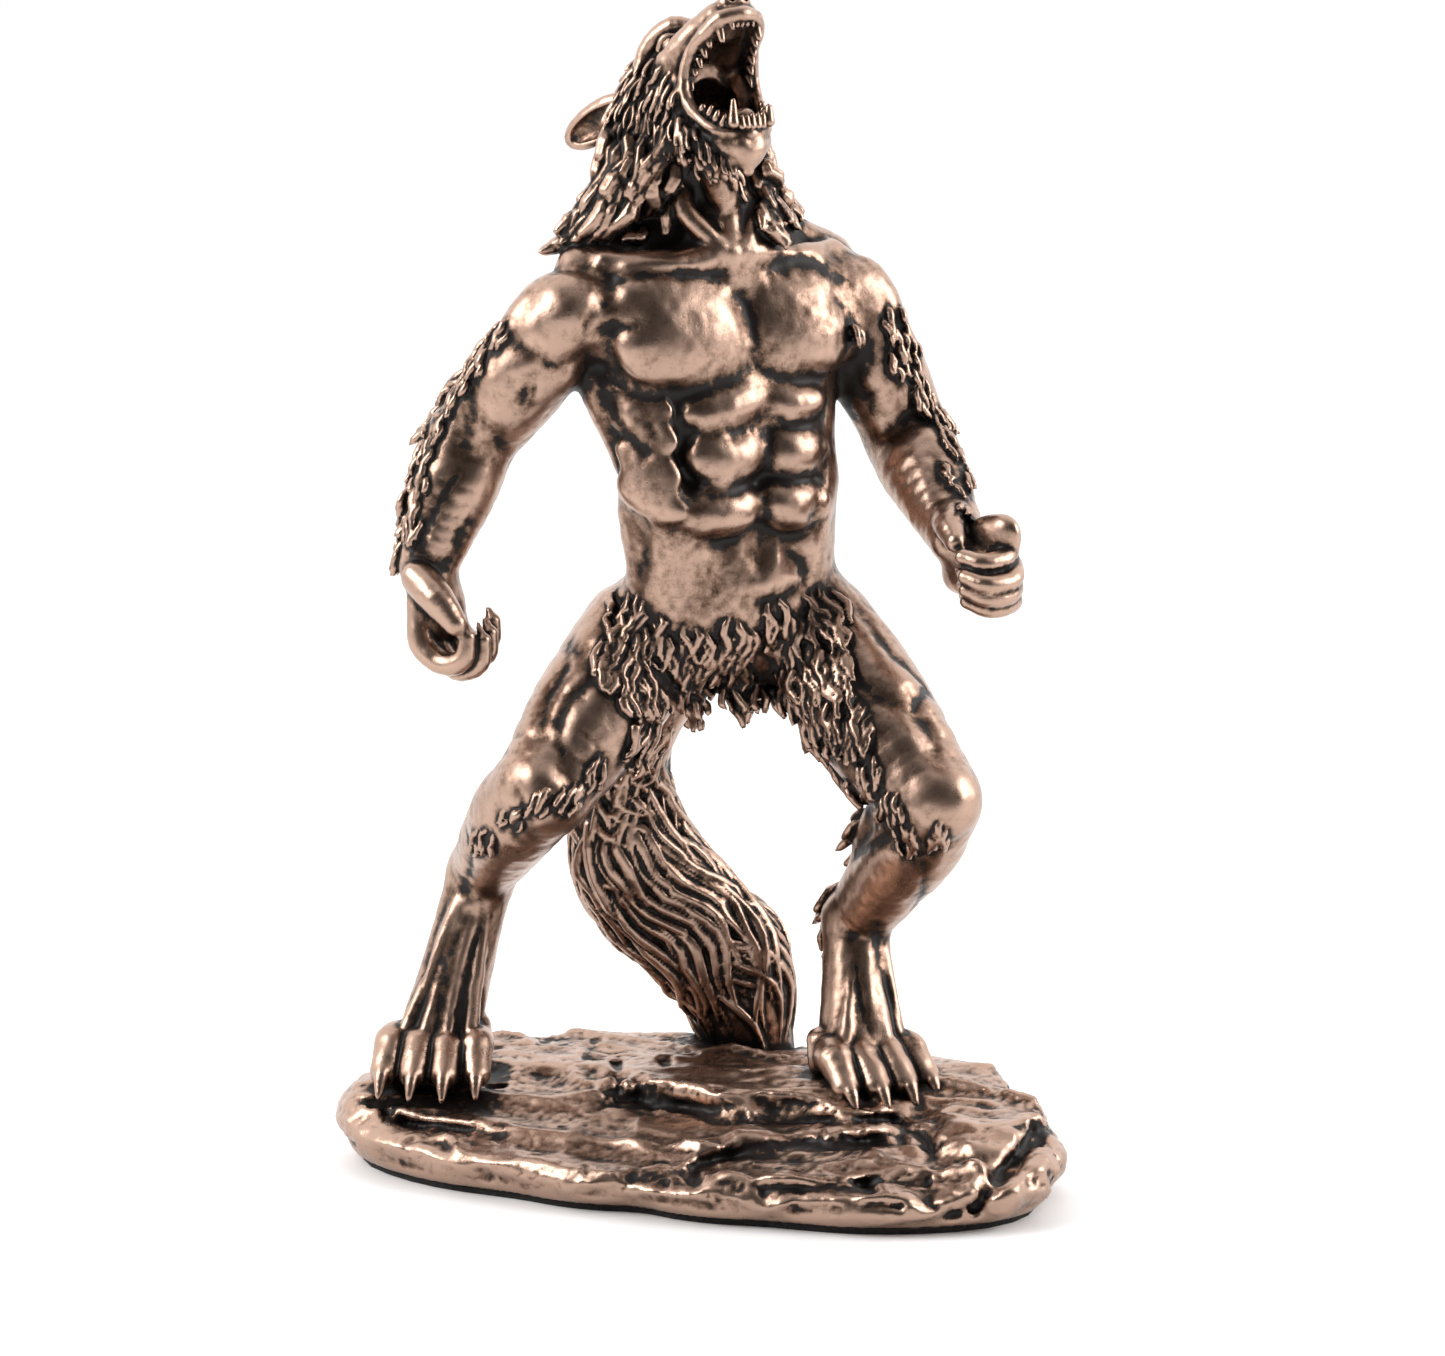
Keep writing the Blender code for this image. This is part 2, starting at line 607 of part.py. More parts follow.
def hand_of(clay, origin, along, palm, thumb, scale):
    along, palm, thumb = unit(along), unit(palm), unit(thumb)

    def at(down, out, side):
        return origin + (along * down + palm * out + thumb * side) * scale

    def rope(points, radii, blend):
        clay.limb(points, [radius * scale for radius in radii], blend=blend)

    clay.put(Ball(at(6.5, 0, 0), np.array((8.0, 6.2, 3.6)) * scale, [along, thumb, palm]), 2.0)
    for place in range(4):
        side = 4.8 - place * 3.3
        size = (1.0, 1.08, 1.0, 0.86)[place]
        knuckle = at(12.5 * size**0.3, -0.8, side)
        middle = at(16.5 * size, 2.6, side * 0.95)
        bent = at(16.2 * size, 7.2 * size, side * 0.9)
        tip = at(12.6 * size, 9.0 * size, side * 0.88)
        rope([at(7, -0.3, side * 0.9), knuckle, middle, bent, tip], [2.0, 2.3, 2.0, 1.8, 1.5], 0.7)
        rope([tip, at(9.6 * size, 8.6 * size, side * 0.86)], [1.2, 0.4], 0.4)
    rope([at(1.5, 1.5, 4.5), at(5.5, 5.5, 5.8), at(10.0, 8.0, 5.4)], [3.2, 2.8, 2.0], 1.2)
    rope([at(10.0, 8.0, 5.4), at(13.2, 8.4, 4.8)], [1.3, 0.4], 0.4)


def hands(clay):
    hand_of(clay, WRISTS[RIGHT], (0.22, -0.16, -1), (0.80, -0.6, 0.2), (-0.6, -0.8, 0.0), 1.14)
    hand_of(clay, WRISTS[LEFT], (0.62, -0.70, -0.36), (-0.77, -0.62, -0.1), (-0.12, 0.25, 0.96), 1.12)


def lock(clay, root, way, fall, length, thick, curl=0.0, blend=0.7):
    """A lock of fur that leaves along way and bends towards fall."""
    way, fall = unit(way), unit(fall)
    twist = np.cross(way, fall)
    points, place, step = [np.asarray(root, float)], np.asarray(root, float), length / 4
    for part in range(1, 5):
        bend = unit(way * (1 - part * 0.22) + fall * part * 0.22 + twist * curl * math.sin(part * 1.6))
        place = place + bend * step
        points.append(place)
    clay.limb(points, [thick, thick * 1.05, thick * 0.9, thick * 0.62, thick * 0.2], blend=blend)


def mane(clay):
    """Long fur from behind the jaws over the nape, down between the shoulders."""
    top, middle, low = HEAD.at(0, -6, -3), CHEST.at(0, -5, 35), CHEST.at(0, -13, 20)
    clay.limb([top, middle, low], [8.5, 9.5, 7], blend=3, wide=1.35, across=CHEST.way(1, 0, 0))
    down = vec(0, 0, -1)
    for row in range(6):
        share = row / 5
        spot = top * (1 - share) + low * share + CHEST.way(0, 1, 0) * 4.5 * math.sin(share * math.pi)
        girth = 11.0 + 6.0 * share
        for place in range(10):
            turn = math.radians(-128 + 256 * (place + 0.5 * (row % 2)) / 9.5)
            out = CHEST.way(math.sin(turn) * 1.15, -math.cos(turn), 0)
            root = spot + out * (girth - 3.5)
            fall = down + out * (0.2 + 1.1 * share)
            curl = 0.35 * math.sin(place * 2.3 + row)
            lock(clay, root, down + out * 0.9, fall, 15 - abs(turn) * 1.2, 2.9, curl=curl)


def tail_fur(clay):
    """Long wavy locks down the tail."""
    across, ahead = TAIL_ACROSS, vec(0, -1, 0)
    run = len(TAIL) - 1
    for place in range(13):
        turn = math.radians(-180 + 360 / 13 * place)
        points, radii = [], []
        for step in range(3, run + 1, 2):
            share = step / run
            sway = turn + 0.3 * math.sin(share * 9 + place * 2.1)
            girth = TAIL[step, 3]
            side = across * math.sin(sway) * girth * TAIL_WIDE + ahead * math.cos(sway) * girth
            points.append(TAIL[step, :3] + side * 0.97)
            radii.append(1.4 + 1.9 * math.sin(math.pi * min(share * 1.1, 1)))
        clay.limb(points, radii, blend=0.9)


def loin_fur(clay):
    """Short fur over the loins and down the inner thighs."""
    down = vec(0, 0, -1)
    for row, height in enumerate((-1, -6, -11, -15)):
        for place in range(9):
            side = (place - 4 + 0.5 * (row % 2)) * (4.9 - 0.6 * row)
            front = 13.0 - 0.022 * side**2
            root = PELVIS.at(side, front - 1.0, height + 3.5 + 0.016 * side**2)
            lean = PELVIS.way(1, 0, 0) * (-0.03 * side)
            lock(clay, root, down * 1.2 + PELVIS.way(0, 1, 0) * 0.5 + lean, down + lean, 8.0, 1.9,
                 curl=0.3 * math.sin(place * 1.7 + row))


def limb_fur(clay):
    """Tufts at the elbows, behind the knees and at the hocks."""
    for hand in (RIGHT, LEFT):
        out, back = CHEST.way(hand, 0, 0), CHEST.way(0, -1, 0)
        upper, lower = ELBOWS[hand] - SHOULDERS[hand], WRISTS[hand] - ELBOWS[hand]
        for place in range(5):
            root = ELBOWS[hand] + lower * (0.14 * place) + out * 4.5 + back * 3.0
            lock(clay, root, lower + out * 7 + back * 6, lower, 8.5, 2.0, curl=0.2)
        for place in range(3):
            root = SHOULDERS[hand] + upper * (0.5 + 0.16 * place) + out * 6.0 + back * 3.0
            lock(clay, root, upper + out * 7 + back * 5, upper, 8.0, 2.0, curl=-0.2)
        shank = HOCKS[hand] - KNEES[hand]
        ahead = unit(KNEES[hand] - (HIPS[hand] + HOCKS[hand]) / 2)
        for place in range(4):
            root = KNEES[hand] + shank * (0.25 + 0.17 * place) - ahead * 9.0
            lock(clay, root, shank - ahead * 8, shank, 8.5, 2.2, curl=0.25 * math.cos(place * 2))


def casting():
    clay = Clay()
    torso(clay)
    neck_and_head(clay)
    arms(clay)
    hands(clay)
    legs(clay)
    tail(clay)
    mane(clay)
    tail_fur(clay)
    loin_fur(clay)
    limb_fur(clay)
    clay.put(rock(), 1.2)
    return clay


def rock():
    return Rock(
        ROCK_LENGTH / SHARE, ROCK_DEPTH / SHARE, ROCK_BACK_HEIGHT / SHARE, ROCK_FRONT_HEIGHT / SHARE
    )


def remeshed(mesh, voxel):
    """The mesh with its pieces made one skin of even cells."""
    carrier = bpy.data.objects.new("carrier", mesh)
    bpy.context.scene.collection.objects.link(carrier)
    cells = carrier.modifiers.new("cells", "REMESH")
    cells.mode = "VOXEL"
    cells.voxel_size = voxel
    graph = bpy.context.evaluated_depsgraph_get()
    made = bpy.data.meshes.new_from_object(carrier.evaluated_get(graph))
    bpy.data.objects.remove(carrier)
    return made


def settle(mesh, clay, rounds, stride):
    """Moves each vertex along its normal onto the surface of the clay."""
    count = len(mesh.vertices)
    points = np.empty(count * 3)
    mesh.vertices.foreach_get("co", points)
    points = points.reshape(-1, 3)
    for _ in range(rounds):
        mesh.update()
        normals = np.empty(count * 3)
        mesh.vertex_normals.foreach_get("vector", normals)
        step = np.clip(clay.field(points), -stride, stride)
        points -= normals.reshape(-1, 3) * step[:, None]
        mesh.vertices.foreach_set("co", points.ravel())
    mesh.update()


def modelled(clay, voxel):
    mesh = remeshed(clay.blank(), voxel)
    settle(mesh, clay, 3, voxel)
    mesh = remeshed(mesh, voxel)
    settle(mesh, clay, 3, voxel)
    return mesh


def solid(name, mesh, material):
    mesh.name = name
    mesh.materials.clear()
    mesh.materials.append(material)
    body = bpy.data.objects.new(name, mesh)
    bpy.context.scene.collection.objects.link(body)
    return body


def made_metres(mesh, lift):
    spots = np.empty(len(mesh.vertices) * 3)
    mesh.vertices.foreach_get("co", spots)
    spots = (spots.reshape(-1, 3) - vec(MIDDLE_X, MIDDLE_Y, 0)) * SHARE + vec(0, 0, lift)
    mesh.vertices.foreach_set("co", spots.ravel())
    mesh.update()


def flattened_foot(mesh):
    """Sets the underside exactly on its plane."""
    for vert in mesh.vertices:
        if vert.co.z < 0.35:
            vert.co.z = 0.0
    mesh.update()


def thinned(mesh, triangles):
    """Fewer triangles, spent where the surface bends most."""
    carrier = bpy.data.objects.new("carrier", mesh)
    bpy.context.scene.collection.objects.link(carrier)
    mesh.calc_loop_triangles()
    cut = carrier.modifiers.new("cut", "DECIMATE")
    cut.ratio = min(1.0, triangles / len(mesh.loop_triangles))
    facets = carrier.modifiers.new("facets", "TRIANGULATE")
    facets.keep_custom_normals = False
    graph = bpy.context.evaluated_depsgraph_get()
    made = bpy.data.meshes.new_from_object(carrier.evaluated_get(graph))
    bpy.data.objects.remove(carrier)
    return made


def one_shell(mesh):
    """Closes up pinched edges and keeps the largest body."""
    block = bmesh.new()
    block.from_mesh(mesh)
    for _ in range(6):
        pinched = [edge for edge in block.edges if not edge.is_manifold]
        if not pinched:
            break
        bmesh.ops.collapse(block, edges=pinched)
        bmesh.ops.dissolve_degenerate(block, edges=block.edges, dist=1e-4)
        bmesh.ops.triangulate(block, faces=block.faces)
    left, bodies = set(block.verts), []
    while left:
        body, edge_of = set(), [left.pop()]
        while edge_of:
            vert = edge_of.pop()
            body.add(vert)
            for edge in vert.link_edges:
                other = edge.other_vert(vert)
                if other in left:
                    left.discard(other)
                    edge_of.append(other)
        bodies.append(body)
    keep = max(bodies, key=len)
    bmesh.ops.delete(block, geom=[vert for vert in block.verts if vert not in keep], context="VERTS")
    bmesh.ops.recalc_face_normals(block, faces=block.faces)
    block.to_mesh(mesh)
    block.free()


def werewolf_on_rock(material):
    mesh = modelled(casting(), CLAY_VOXEL / SHARE)
    flattened_foot(mesh)
    mesh = thinned(mesh, CASTING_TRIANGLES)
    one_shell(mesh)
    made_metres(mesh, FELT_THICKNESS + GLUE_GAP)
    return solid("werewolf_on_rock", mesh, material)


def felt_pad(material):
    form = rock()
    around = np.linspace(-math.pi, math.pi, 72, endpoint=False)
    edge = form.edge(around) - 2.5 - FELT_INSET / SHARE
    block = bmesh.new()
    rings = []
    for height in (0.0, FELT_THICKNESS):
        spots = zip((np.cos(around) * edge - MIDDLE_X) * SHARE, (np.sin(around) * edge - MIDDLE_Y) * SHARE)
        rings.append([block.verts.new((x, y, height)) for x, y in spots])
    for first in range(72):
        second = (first + 1) % 72
        block.faces.new((rings[0][first], rings[0][second], rings[1][second], rings[1][first]))
    block.faces.new(list(reversed(rings[0])))
    block.faces.new(rings[1])
    mesh = bpy.data.meshes.new("felt_pad")
    block.to_mesh(mesh)
    block.free()
    return solid("felt_pad", mesh, material)


def coloured(name, colour, roughness, metallic):
    material = bpy.data.materials.new(name)
    material.use_nodes = True
    skin = material.node_tree.nodes["Principled BSDF"]
    skin.inputs["Base Color"].default_value = (*colour, 1.0)
    skin.inputs["Roughness"].default_value = roughness
    skin.inputs["Metallic"].default_value = metallic
    return material


def main():
    for thing in list(bpy.data.objects):
        bpy.data.objects.remove(thing)
    bronze = coloured("cold_cast_bronze", (0.33, 0.21, 0.13), 0.38, 0.9)
    felt = coloured("black_felt", (0.012, 0.011, 0.010), 0.95, 0.0)
    werewolf_on_rock(bronze)
    felt_pad(felt)


if __name__ == "__main__":
    main()
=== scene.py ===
"""Looks of the howling werewolf figurine: a cold-cast bronze figure on its boulder, with a felt pad under it.

Run it with Blender, in the background or from the text editor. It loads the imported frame, models the
casting finely, colours it, and sets a plain floor, soft light and the camera of the photograph.
The figure is laid out in shares of its own height, a share being close to a millimetre.
"""

import json
import math
from concurrent.futures import ThreadPoolExecutor

import bmesh
import bpy
import numpy as np
from mathutils import Matrix, Vector
from mathutils.bvhtree import BVHTree

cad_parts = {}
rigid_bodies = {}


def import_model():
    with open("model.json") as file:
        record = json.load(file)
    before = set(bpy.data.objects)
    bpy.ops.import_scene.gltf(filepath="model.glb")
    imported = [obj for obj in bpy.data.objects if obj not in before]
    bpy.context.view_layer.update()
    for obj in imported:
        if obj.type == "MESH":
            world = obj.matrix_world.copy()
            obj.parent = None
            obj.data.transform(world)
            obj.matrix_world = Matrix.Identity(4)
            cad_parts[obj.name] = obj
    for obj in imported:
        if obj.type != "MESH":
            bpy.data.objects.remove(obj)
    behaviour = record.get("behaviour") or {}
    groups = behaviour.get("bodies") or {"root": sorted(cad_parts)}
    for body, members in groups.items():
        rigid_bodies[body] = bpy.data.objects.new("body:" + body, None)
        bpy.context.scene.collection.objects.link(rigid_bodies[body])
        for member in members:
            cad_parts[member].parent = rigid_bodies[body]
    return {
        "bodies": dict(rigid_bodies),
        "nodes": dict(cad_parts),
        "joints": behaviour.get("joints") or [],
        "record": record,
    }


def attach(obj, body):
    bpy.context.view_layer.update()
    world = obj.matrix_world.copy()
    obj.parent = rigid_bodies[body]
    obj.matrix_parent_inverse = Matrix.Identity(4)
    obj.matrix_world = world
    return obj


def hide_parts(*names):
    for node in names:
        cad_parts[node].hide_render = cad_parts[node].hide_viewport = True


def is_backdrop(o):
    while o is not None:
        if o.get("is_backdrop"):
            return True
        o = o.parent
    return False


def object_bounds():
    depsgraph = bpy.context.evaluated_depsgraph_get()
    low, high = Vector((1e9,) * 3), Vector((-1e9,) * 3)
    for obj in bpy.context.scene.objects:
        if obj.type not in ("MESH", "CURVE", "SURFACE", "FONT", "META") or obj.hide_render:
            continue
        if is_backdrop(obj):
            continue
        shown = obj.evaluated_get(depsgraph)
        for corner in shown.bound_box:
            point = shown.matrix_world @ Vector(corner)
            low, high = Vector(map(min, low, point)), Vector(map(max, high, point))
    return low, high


bl_info = {
    "name": "Werewolf Figurine",
    "version": (1, 0, 0),
    "blender": (4, 5, 0),
    "location": "View3D > Sidebar > Werewolf",
    "description": "Models a cast bronze werewolf on its boulder and the studio round it",
    "category": "Object",
}

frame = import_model()

# Sizes in metres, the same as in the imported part
FIGURE_HEIGHT = 0.2145
FIGURE_SHARES = 214.5
SHARE = FIGURE_HEIGHT / FIGURE_SHARES
ROCK_LENGTH = 0.140
ROCK_DEPTH = 0.092
ROCK_BACK_HEIGHT = 0.0164
ROCK_FRONT_HEIGHT = 0.0090
FELT_THICKNESS = 0.0012
GLUE_GAP = 0.0003
# In shares: the cell of the rough mesh, the middle of the figure in plan, and a distance past everything
COARSE_VOXEL = 1.2
MIDDLE_X = -1.7
MIDDLE_Y = 2.6
FAR = 1e3
# The figure's own sides, as signs of X
LEFT = 1
RIGHT = -1


# Geometry kernel: forms of clay, in shares


def unit(vector):
    """The vector at length one."""
    vector = np.asarray(vector, float)
    return vector / np.linalg.norm(vector)


def vec(*numbers):
    """A short way to write an array of numbers."""
    return np.array(numbers, float)


def rough(points, size, seed):
    """Smooth random heights between -1 and 1, with lumps of the given size."""
    cell = points / size + vec(17.3, 5.1, 9.7) * seed
    base = np.floor(cell)
    part = cell - base
    part = part * part * (3 - 2 * part)
    total = np.zeros(len(points))
    for corner in range(8):
        step = vec(corner & 1, corner >> 1 & 1, corner >> 2)
        mess = np.sin((base + step) @ vec(12.9898, 78.233, 37.719)) * 4375.85453
        weight = np.where(step > 0, part, 1 - part).prod(1)
        total += (mess - np.floor(mess)) * weight
    return total * 2 - 1


def flowing(points, pieces=3):
    """The points of a smooth curve through the given ones. Radii may ride along as a fourth number."""
    points = np.asarray(points, float)
    padded = np.vstack([2 * points[0] - points[1], points, 2 * points[-1] - points[-2]])
    run = []
    for before, start, end, after in zip(padded[:-3], padded[1:-2], padded[2:-1], padded[3:]):
        for share in np.arange(pieces) / pieces:
            bend = (2 * before - 5 * start + 4 * end - after) * share**2
            twist = (3 * start - before - 3 * end + after) * share**3
            run.append((2 * start + (end - before) * share + bend + twist) / 2)
    return np.array(run + [points[-1]])


class Frame:
    """A turned set of axes: side is the figure's left, front is where it faces, up is up."""

    def __init__(self, origin, azimuth=0.0, pitch=0.0):
        turn, tip = math.radians(azimuth), math.radians(pitch)
        front = vec(math.sin(turn), -math.cos(turn), 0)
        side = vec(math.cos(turn), math.sin(turn), 0)
        up = vec(0, 0, 1)
        front, up = front * math.cos(tip) + up * math.sin(tip), up * math.cos(tip) - front * math.sin(tip)
        self.origin = np.asarray(origin, float)
        self.axes = np.array([side, front, up])

    def at(self, side, front, up):
        return self.origin + vec(side, front, up) @ self.axes

    def way(self, side, front, up):
        return unit(vec(side, front, up) @ self.axes)


def nearest_run(points, start, run, thick, thin):
    """Gap from each point to each tapered piece of rope, and how far along the piece it is nearest."""
    long = (run * run).sum(1)
    along = points @ run.T - (start * run).sum(1)
    share = np.clip(along / long, 0, 1)
    square = (points * points).sum(1)[:, None] - 2 * points @ start.T + (start * start).sum(1)
    gap = np.sqrt(np.maximum(square - share * (2 * along - share * long), 0))
    return gap - thick - (thin - thick) * share, share


class Ball:
    """An ellipsoid. Its axes are rows: along, across and through."""

    def __init__(self, centre, radii, axes=None):
        self.centre = np.asarray(centre, float)
        self.radii = np.asarray(radii, float)
        self.axes = np.eye(3) if axes is None else np.asarray(axes, float)
        self.half = np.sqrt(((self.axes * self.radii[:, None]) ** 2).sum(0))

    def distance(self, points):
        local = (points - self.centre) @ self.axes.T
        inner = np.linalg.norm(local / self.radii, axis=1)
        slope = np.linalg.norm(local / self.radii**2, axis=1)
        return inner * (inner - 1) / np.maximum(slope, 1e-9)

    def blank(self, block):
        turn = Matrix(self.axes.T.tolist())
        matrix = Matrix.LocRotScale(Vector(self.centre), turn, Vector(self.radii))
        bmesh.ops.create_icosphere(block, subdivisions=3, radius=1, matrix=matrix)


class Limb:
    """A round rope of clay through points, with a radius at each, wider along one direction."""

    def __init__(self, points, radii, wide=1.0, across=(1, 0, 0)):
        self.points = np.asarray(points, float)
        self.radii = np.asarray(radii, float)
        self.across = unit(across)
        self.wide = wide
        reach = self.radii[:, None] * max(wide, 1)
        low, high = (self.points - reach).min(0), (self.points + reach).max(0)
        self.centre, self.half = (low + high) / 2, (high - low) / 2
        joints = self.narrowed(self.points)
        self.start, self.run = joints[:-1], np.diff(joints, axis=0)

    def narrowed(self, points):
        middle = points - self.centre
        if self.wide == 1:
            return middle
        return middle - np.outer(middle @ self.across, self.across) * (1 - 1 / self.wide)

    def distance(self, points):
        gap, _ = nearest_run(self.narrowed(points), self.start, self.run, self.radii[:-1], self.radii[1:])
        return gap.min(1)

    def blank(self, block):
        widen = Matrix.Scale(self.wide, 4, Vector(self.across))
        move = Matrix.Translation(Vector(self.centre)) @ widen
        joints = self.narrowed(self.points)
        for joint, radius in zip(joints, self.radii):
            place = move @ Matrix.Translation(Vector(joint))
            bmesh.ops.create_icosphere(block, subdivisions=1, radius=max(radius, 0.05), matrix=place)
        pairs = zip(joints[:-1], joints[1:], self.radii[:-1], self.radii[1:])
        for start, end, thick, thin in pairs:
            run = Vector(end - start)
            turn = run.to_track_quat("Z", "X").to_matrix().to_4x4()
            place = move @ Matrix.Translation(Vector((start + end) / 2)) @ turn
            bmesh.ops.create_cone(
                block,
                cap_ends=True,
                segments=8,
                radius1=thick,
                radius2=thin,
                depth=run.length,
                matrix=place
            )


class Rock:
    """A low boulder: a closed outline in plan, a top that falls to the front, and ledges."""

    # Outline in plan, in shares of half the length and half the depth, from the left end round the front
    OUTLINE = (
        (-1.06, 0.34), (-0.90, -0.08), (-0.57, -0.39), (-0.19, -0.65), (0.20, -0.87), (0.60, -0.98),
        (0.88, -0.84), (0.97, -0.58), (0.96, -0.10), (0.84, 0.36), (0.53, 0.70), (0.14, 0.94),
        (-0.22, 1.00), (-0.60, 0.96), (-0.89, 0.74),
    )

    def __init__(self, length, depth, back, front):
        self.back, self.front = back, front
        self.centre = vec(0, 0, back / 2)
        self.half = vec(length * 0.62, depth * 0.62, back)
        corners = np.array(self.OUTLINE) * vec(length, depth) / 2
        turns = np.arctan2(corners[:, 1], corners[:, 0])
        order = np.argsort(turns)
        self.turns = turns[order]
        self.radii = np.linalg.norm(corners, axis=1)[order]

    def edge(self, turn):
        """How far out the rim lies towards each direction, the corners rounded over."""
        total = np.zeros_like(turn)
        for shift in np.linspace(-0.12, 0.12, 7):
            total += np.interp(turn + shift, self.turns, self.radii, period=2 * math.pi)
        return total / 7

    def top(self, x, y):
        slope = (y + 0.33 * x + 26) / 55
        share = np.clip(slope, 0, 1)
        height = self.front + (self.back - self.front) * share**0.7
        # The flat slab in the middle, and two ledges in front of it
        slab = np.hypot((x - 16) / 34, (y - 12 + 0.2 * x) / 17) - 1
        height = height + 1.5 * np.clip(-slab * 6, 0, 1)
        for place, drop in ((-0.02, 0.9), (-0.2, 0.8)):
            wave = 0.05 * np.sin(x / 9 + place * 20)
            height = height - drop * np.clip((place + 0.42 + wave - share) * 14, 0, 1)
        return height

    def distance(self, points):
        x, y, z = points.T
        out = (np.hypot(x, y) - self.edge(np.arctan2(y, x))) * 0.9
        rim = out + 2.5 - 2.5 * np.clip(1 - ((z - 5.5) / 6.5) ** 2, 0, 1)
        roof = z - self.top(x, y)
        soft = 4.0
        overlap = np.maximum(soft - np.abs(rim - roof), 0) / soft
        stone = np.maximum(rim, roof) + overlap**2 * soft / 4
        stretch = points * vec(0.5, 1.0, 1.5) + vec(0, 0.35, 0) * points[:, :1]
        folds = 1 - np.abs(rough(stretch, 13, 1)) * 2.4
        chips = 1 - np.abs(rough(stretch, 6.0, 2)) * 2
        pits = np.clip(rough(points, 5.0, 5) - 0.52, 0, 1) * 2.4
        lumps = 1.3 * folds + 0.9 * chips - pits + 0.2 * rough(points * vec(0.6, 1, 1), 2.2, 3)
        lumps = lumps + 0.14 * rough(points, 1.0, 4) + self.drawn(points, stretch)
        return np.maximum(stone - lumps * np.clip(z / 3, 0, 1) + 0.3, -z)

    def drawn(self, points, stretch):
        """Ledges and cracks drawn on the pane and thrown on to the stone, their lines broken up."""
        way = points - EYE
        hits = way * (np.linalg.norm(EYE - AIM) ** 2 / (way @ (AIM - EYE)))[:, None] + EYE - AIM
        shift = vec(1.0, 1.0, 0) * rough(stretch, 7, 41)[:, None] * 1.2
        flat = np.stack([hits[:, 0], hits @ PANE_UP, np.zeros(len(hits))], 1) + shift
        relief, broken = np.zeros(len(points)), rough(points, 4.5, 43)
        for width, height, line in ROCK_LINES:
            run = flowing([(*place, 0) for place in line], 3)
            close = np.flatnonzero(
                ((flat > run.min(0) - width * 2.5) & (flat < run.max(0) + width * 2.5)).all(1)
            )
            if not len(close):
                continue
            here, gap = flat[close], np.full(len(close), FAR)
            for start, end in zip(run[:-1], run[1:]):
                along = np.clip((here - start) @ (end - start) / ((end - start) @ (end - start)), 0, 1)
                gap = np.minimum(gap, np.linalg.norm(here - start - along[:, None] * (end - start), axis=1))
            relief[close] += height * np.exp(-((gap / width * (1 + 0.6 * broken[close])) ** 2)) * (
                1 + 0.5 * broken[close]
            )
        return relief * (points[:, 1] < 22)

    def blank(self, block):
        around = np.linspace(-math.pi, math.pi, 48, endpoint=False)
        rings = []
        for share, lift in ((0.0, 1), (0.3, 1), (0.6, 1), (0.85, 1), (0.97, 0.6), (0.97, 0.0)):
            x, y = np.cos(around) * self.edge(around) * share, np.sin(around) * self.edge(around) * share
            rings.append([block.verts.new(place) for place in zip(x, y, self.top(x, y) * lift)])
        for inner, outer in zip(rings[:-1], rings[1:]):
            for first in range(48):
                second = (first + 1) % 48
                block.faces.new((inner[first], outer[first], outer[second], inner[second]))
        block.faces.new(rings[0])
        block.faces.new(list(reversed(rings[-1])))


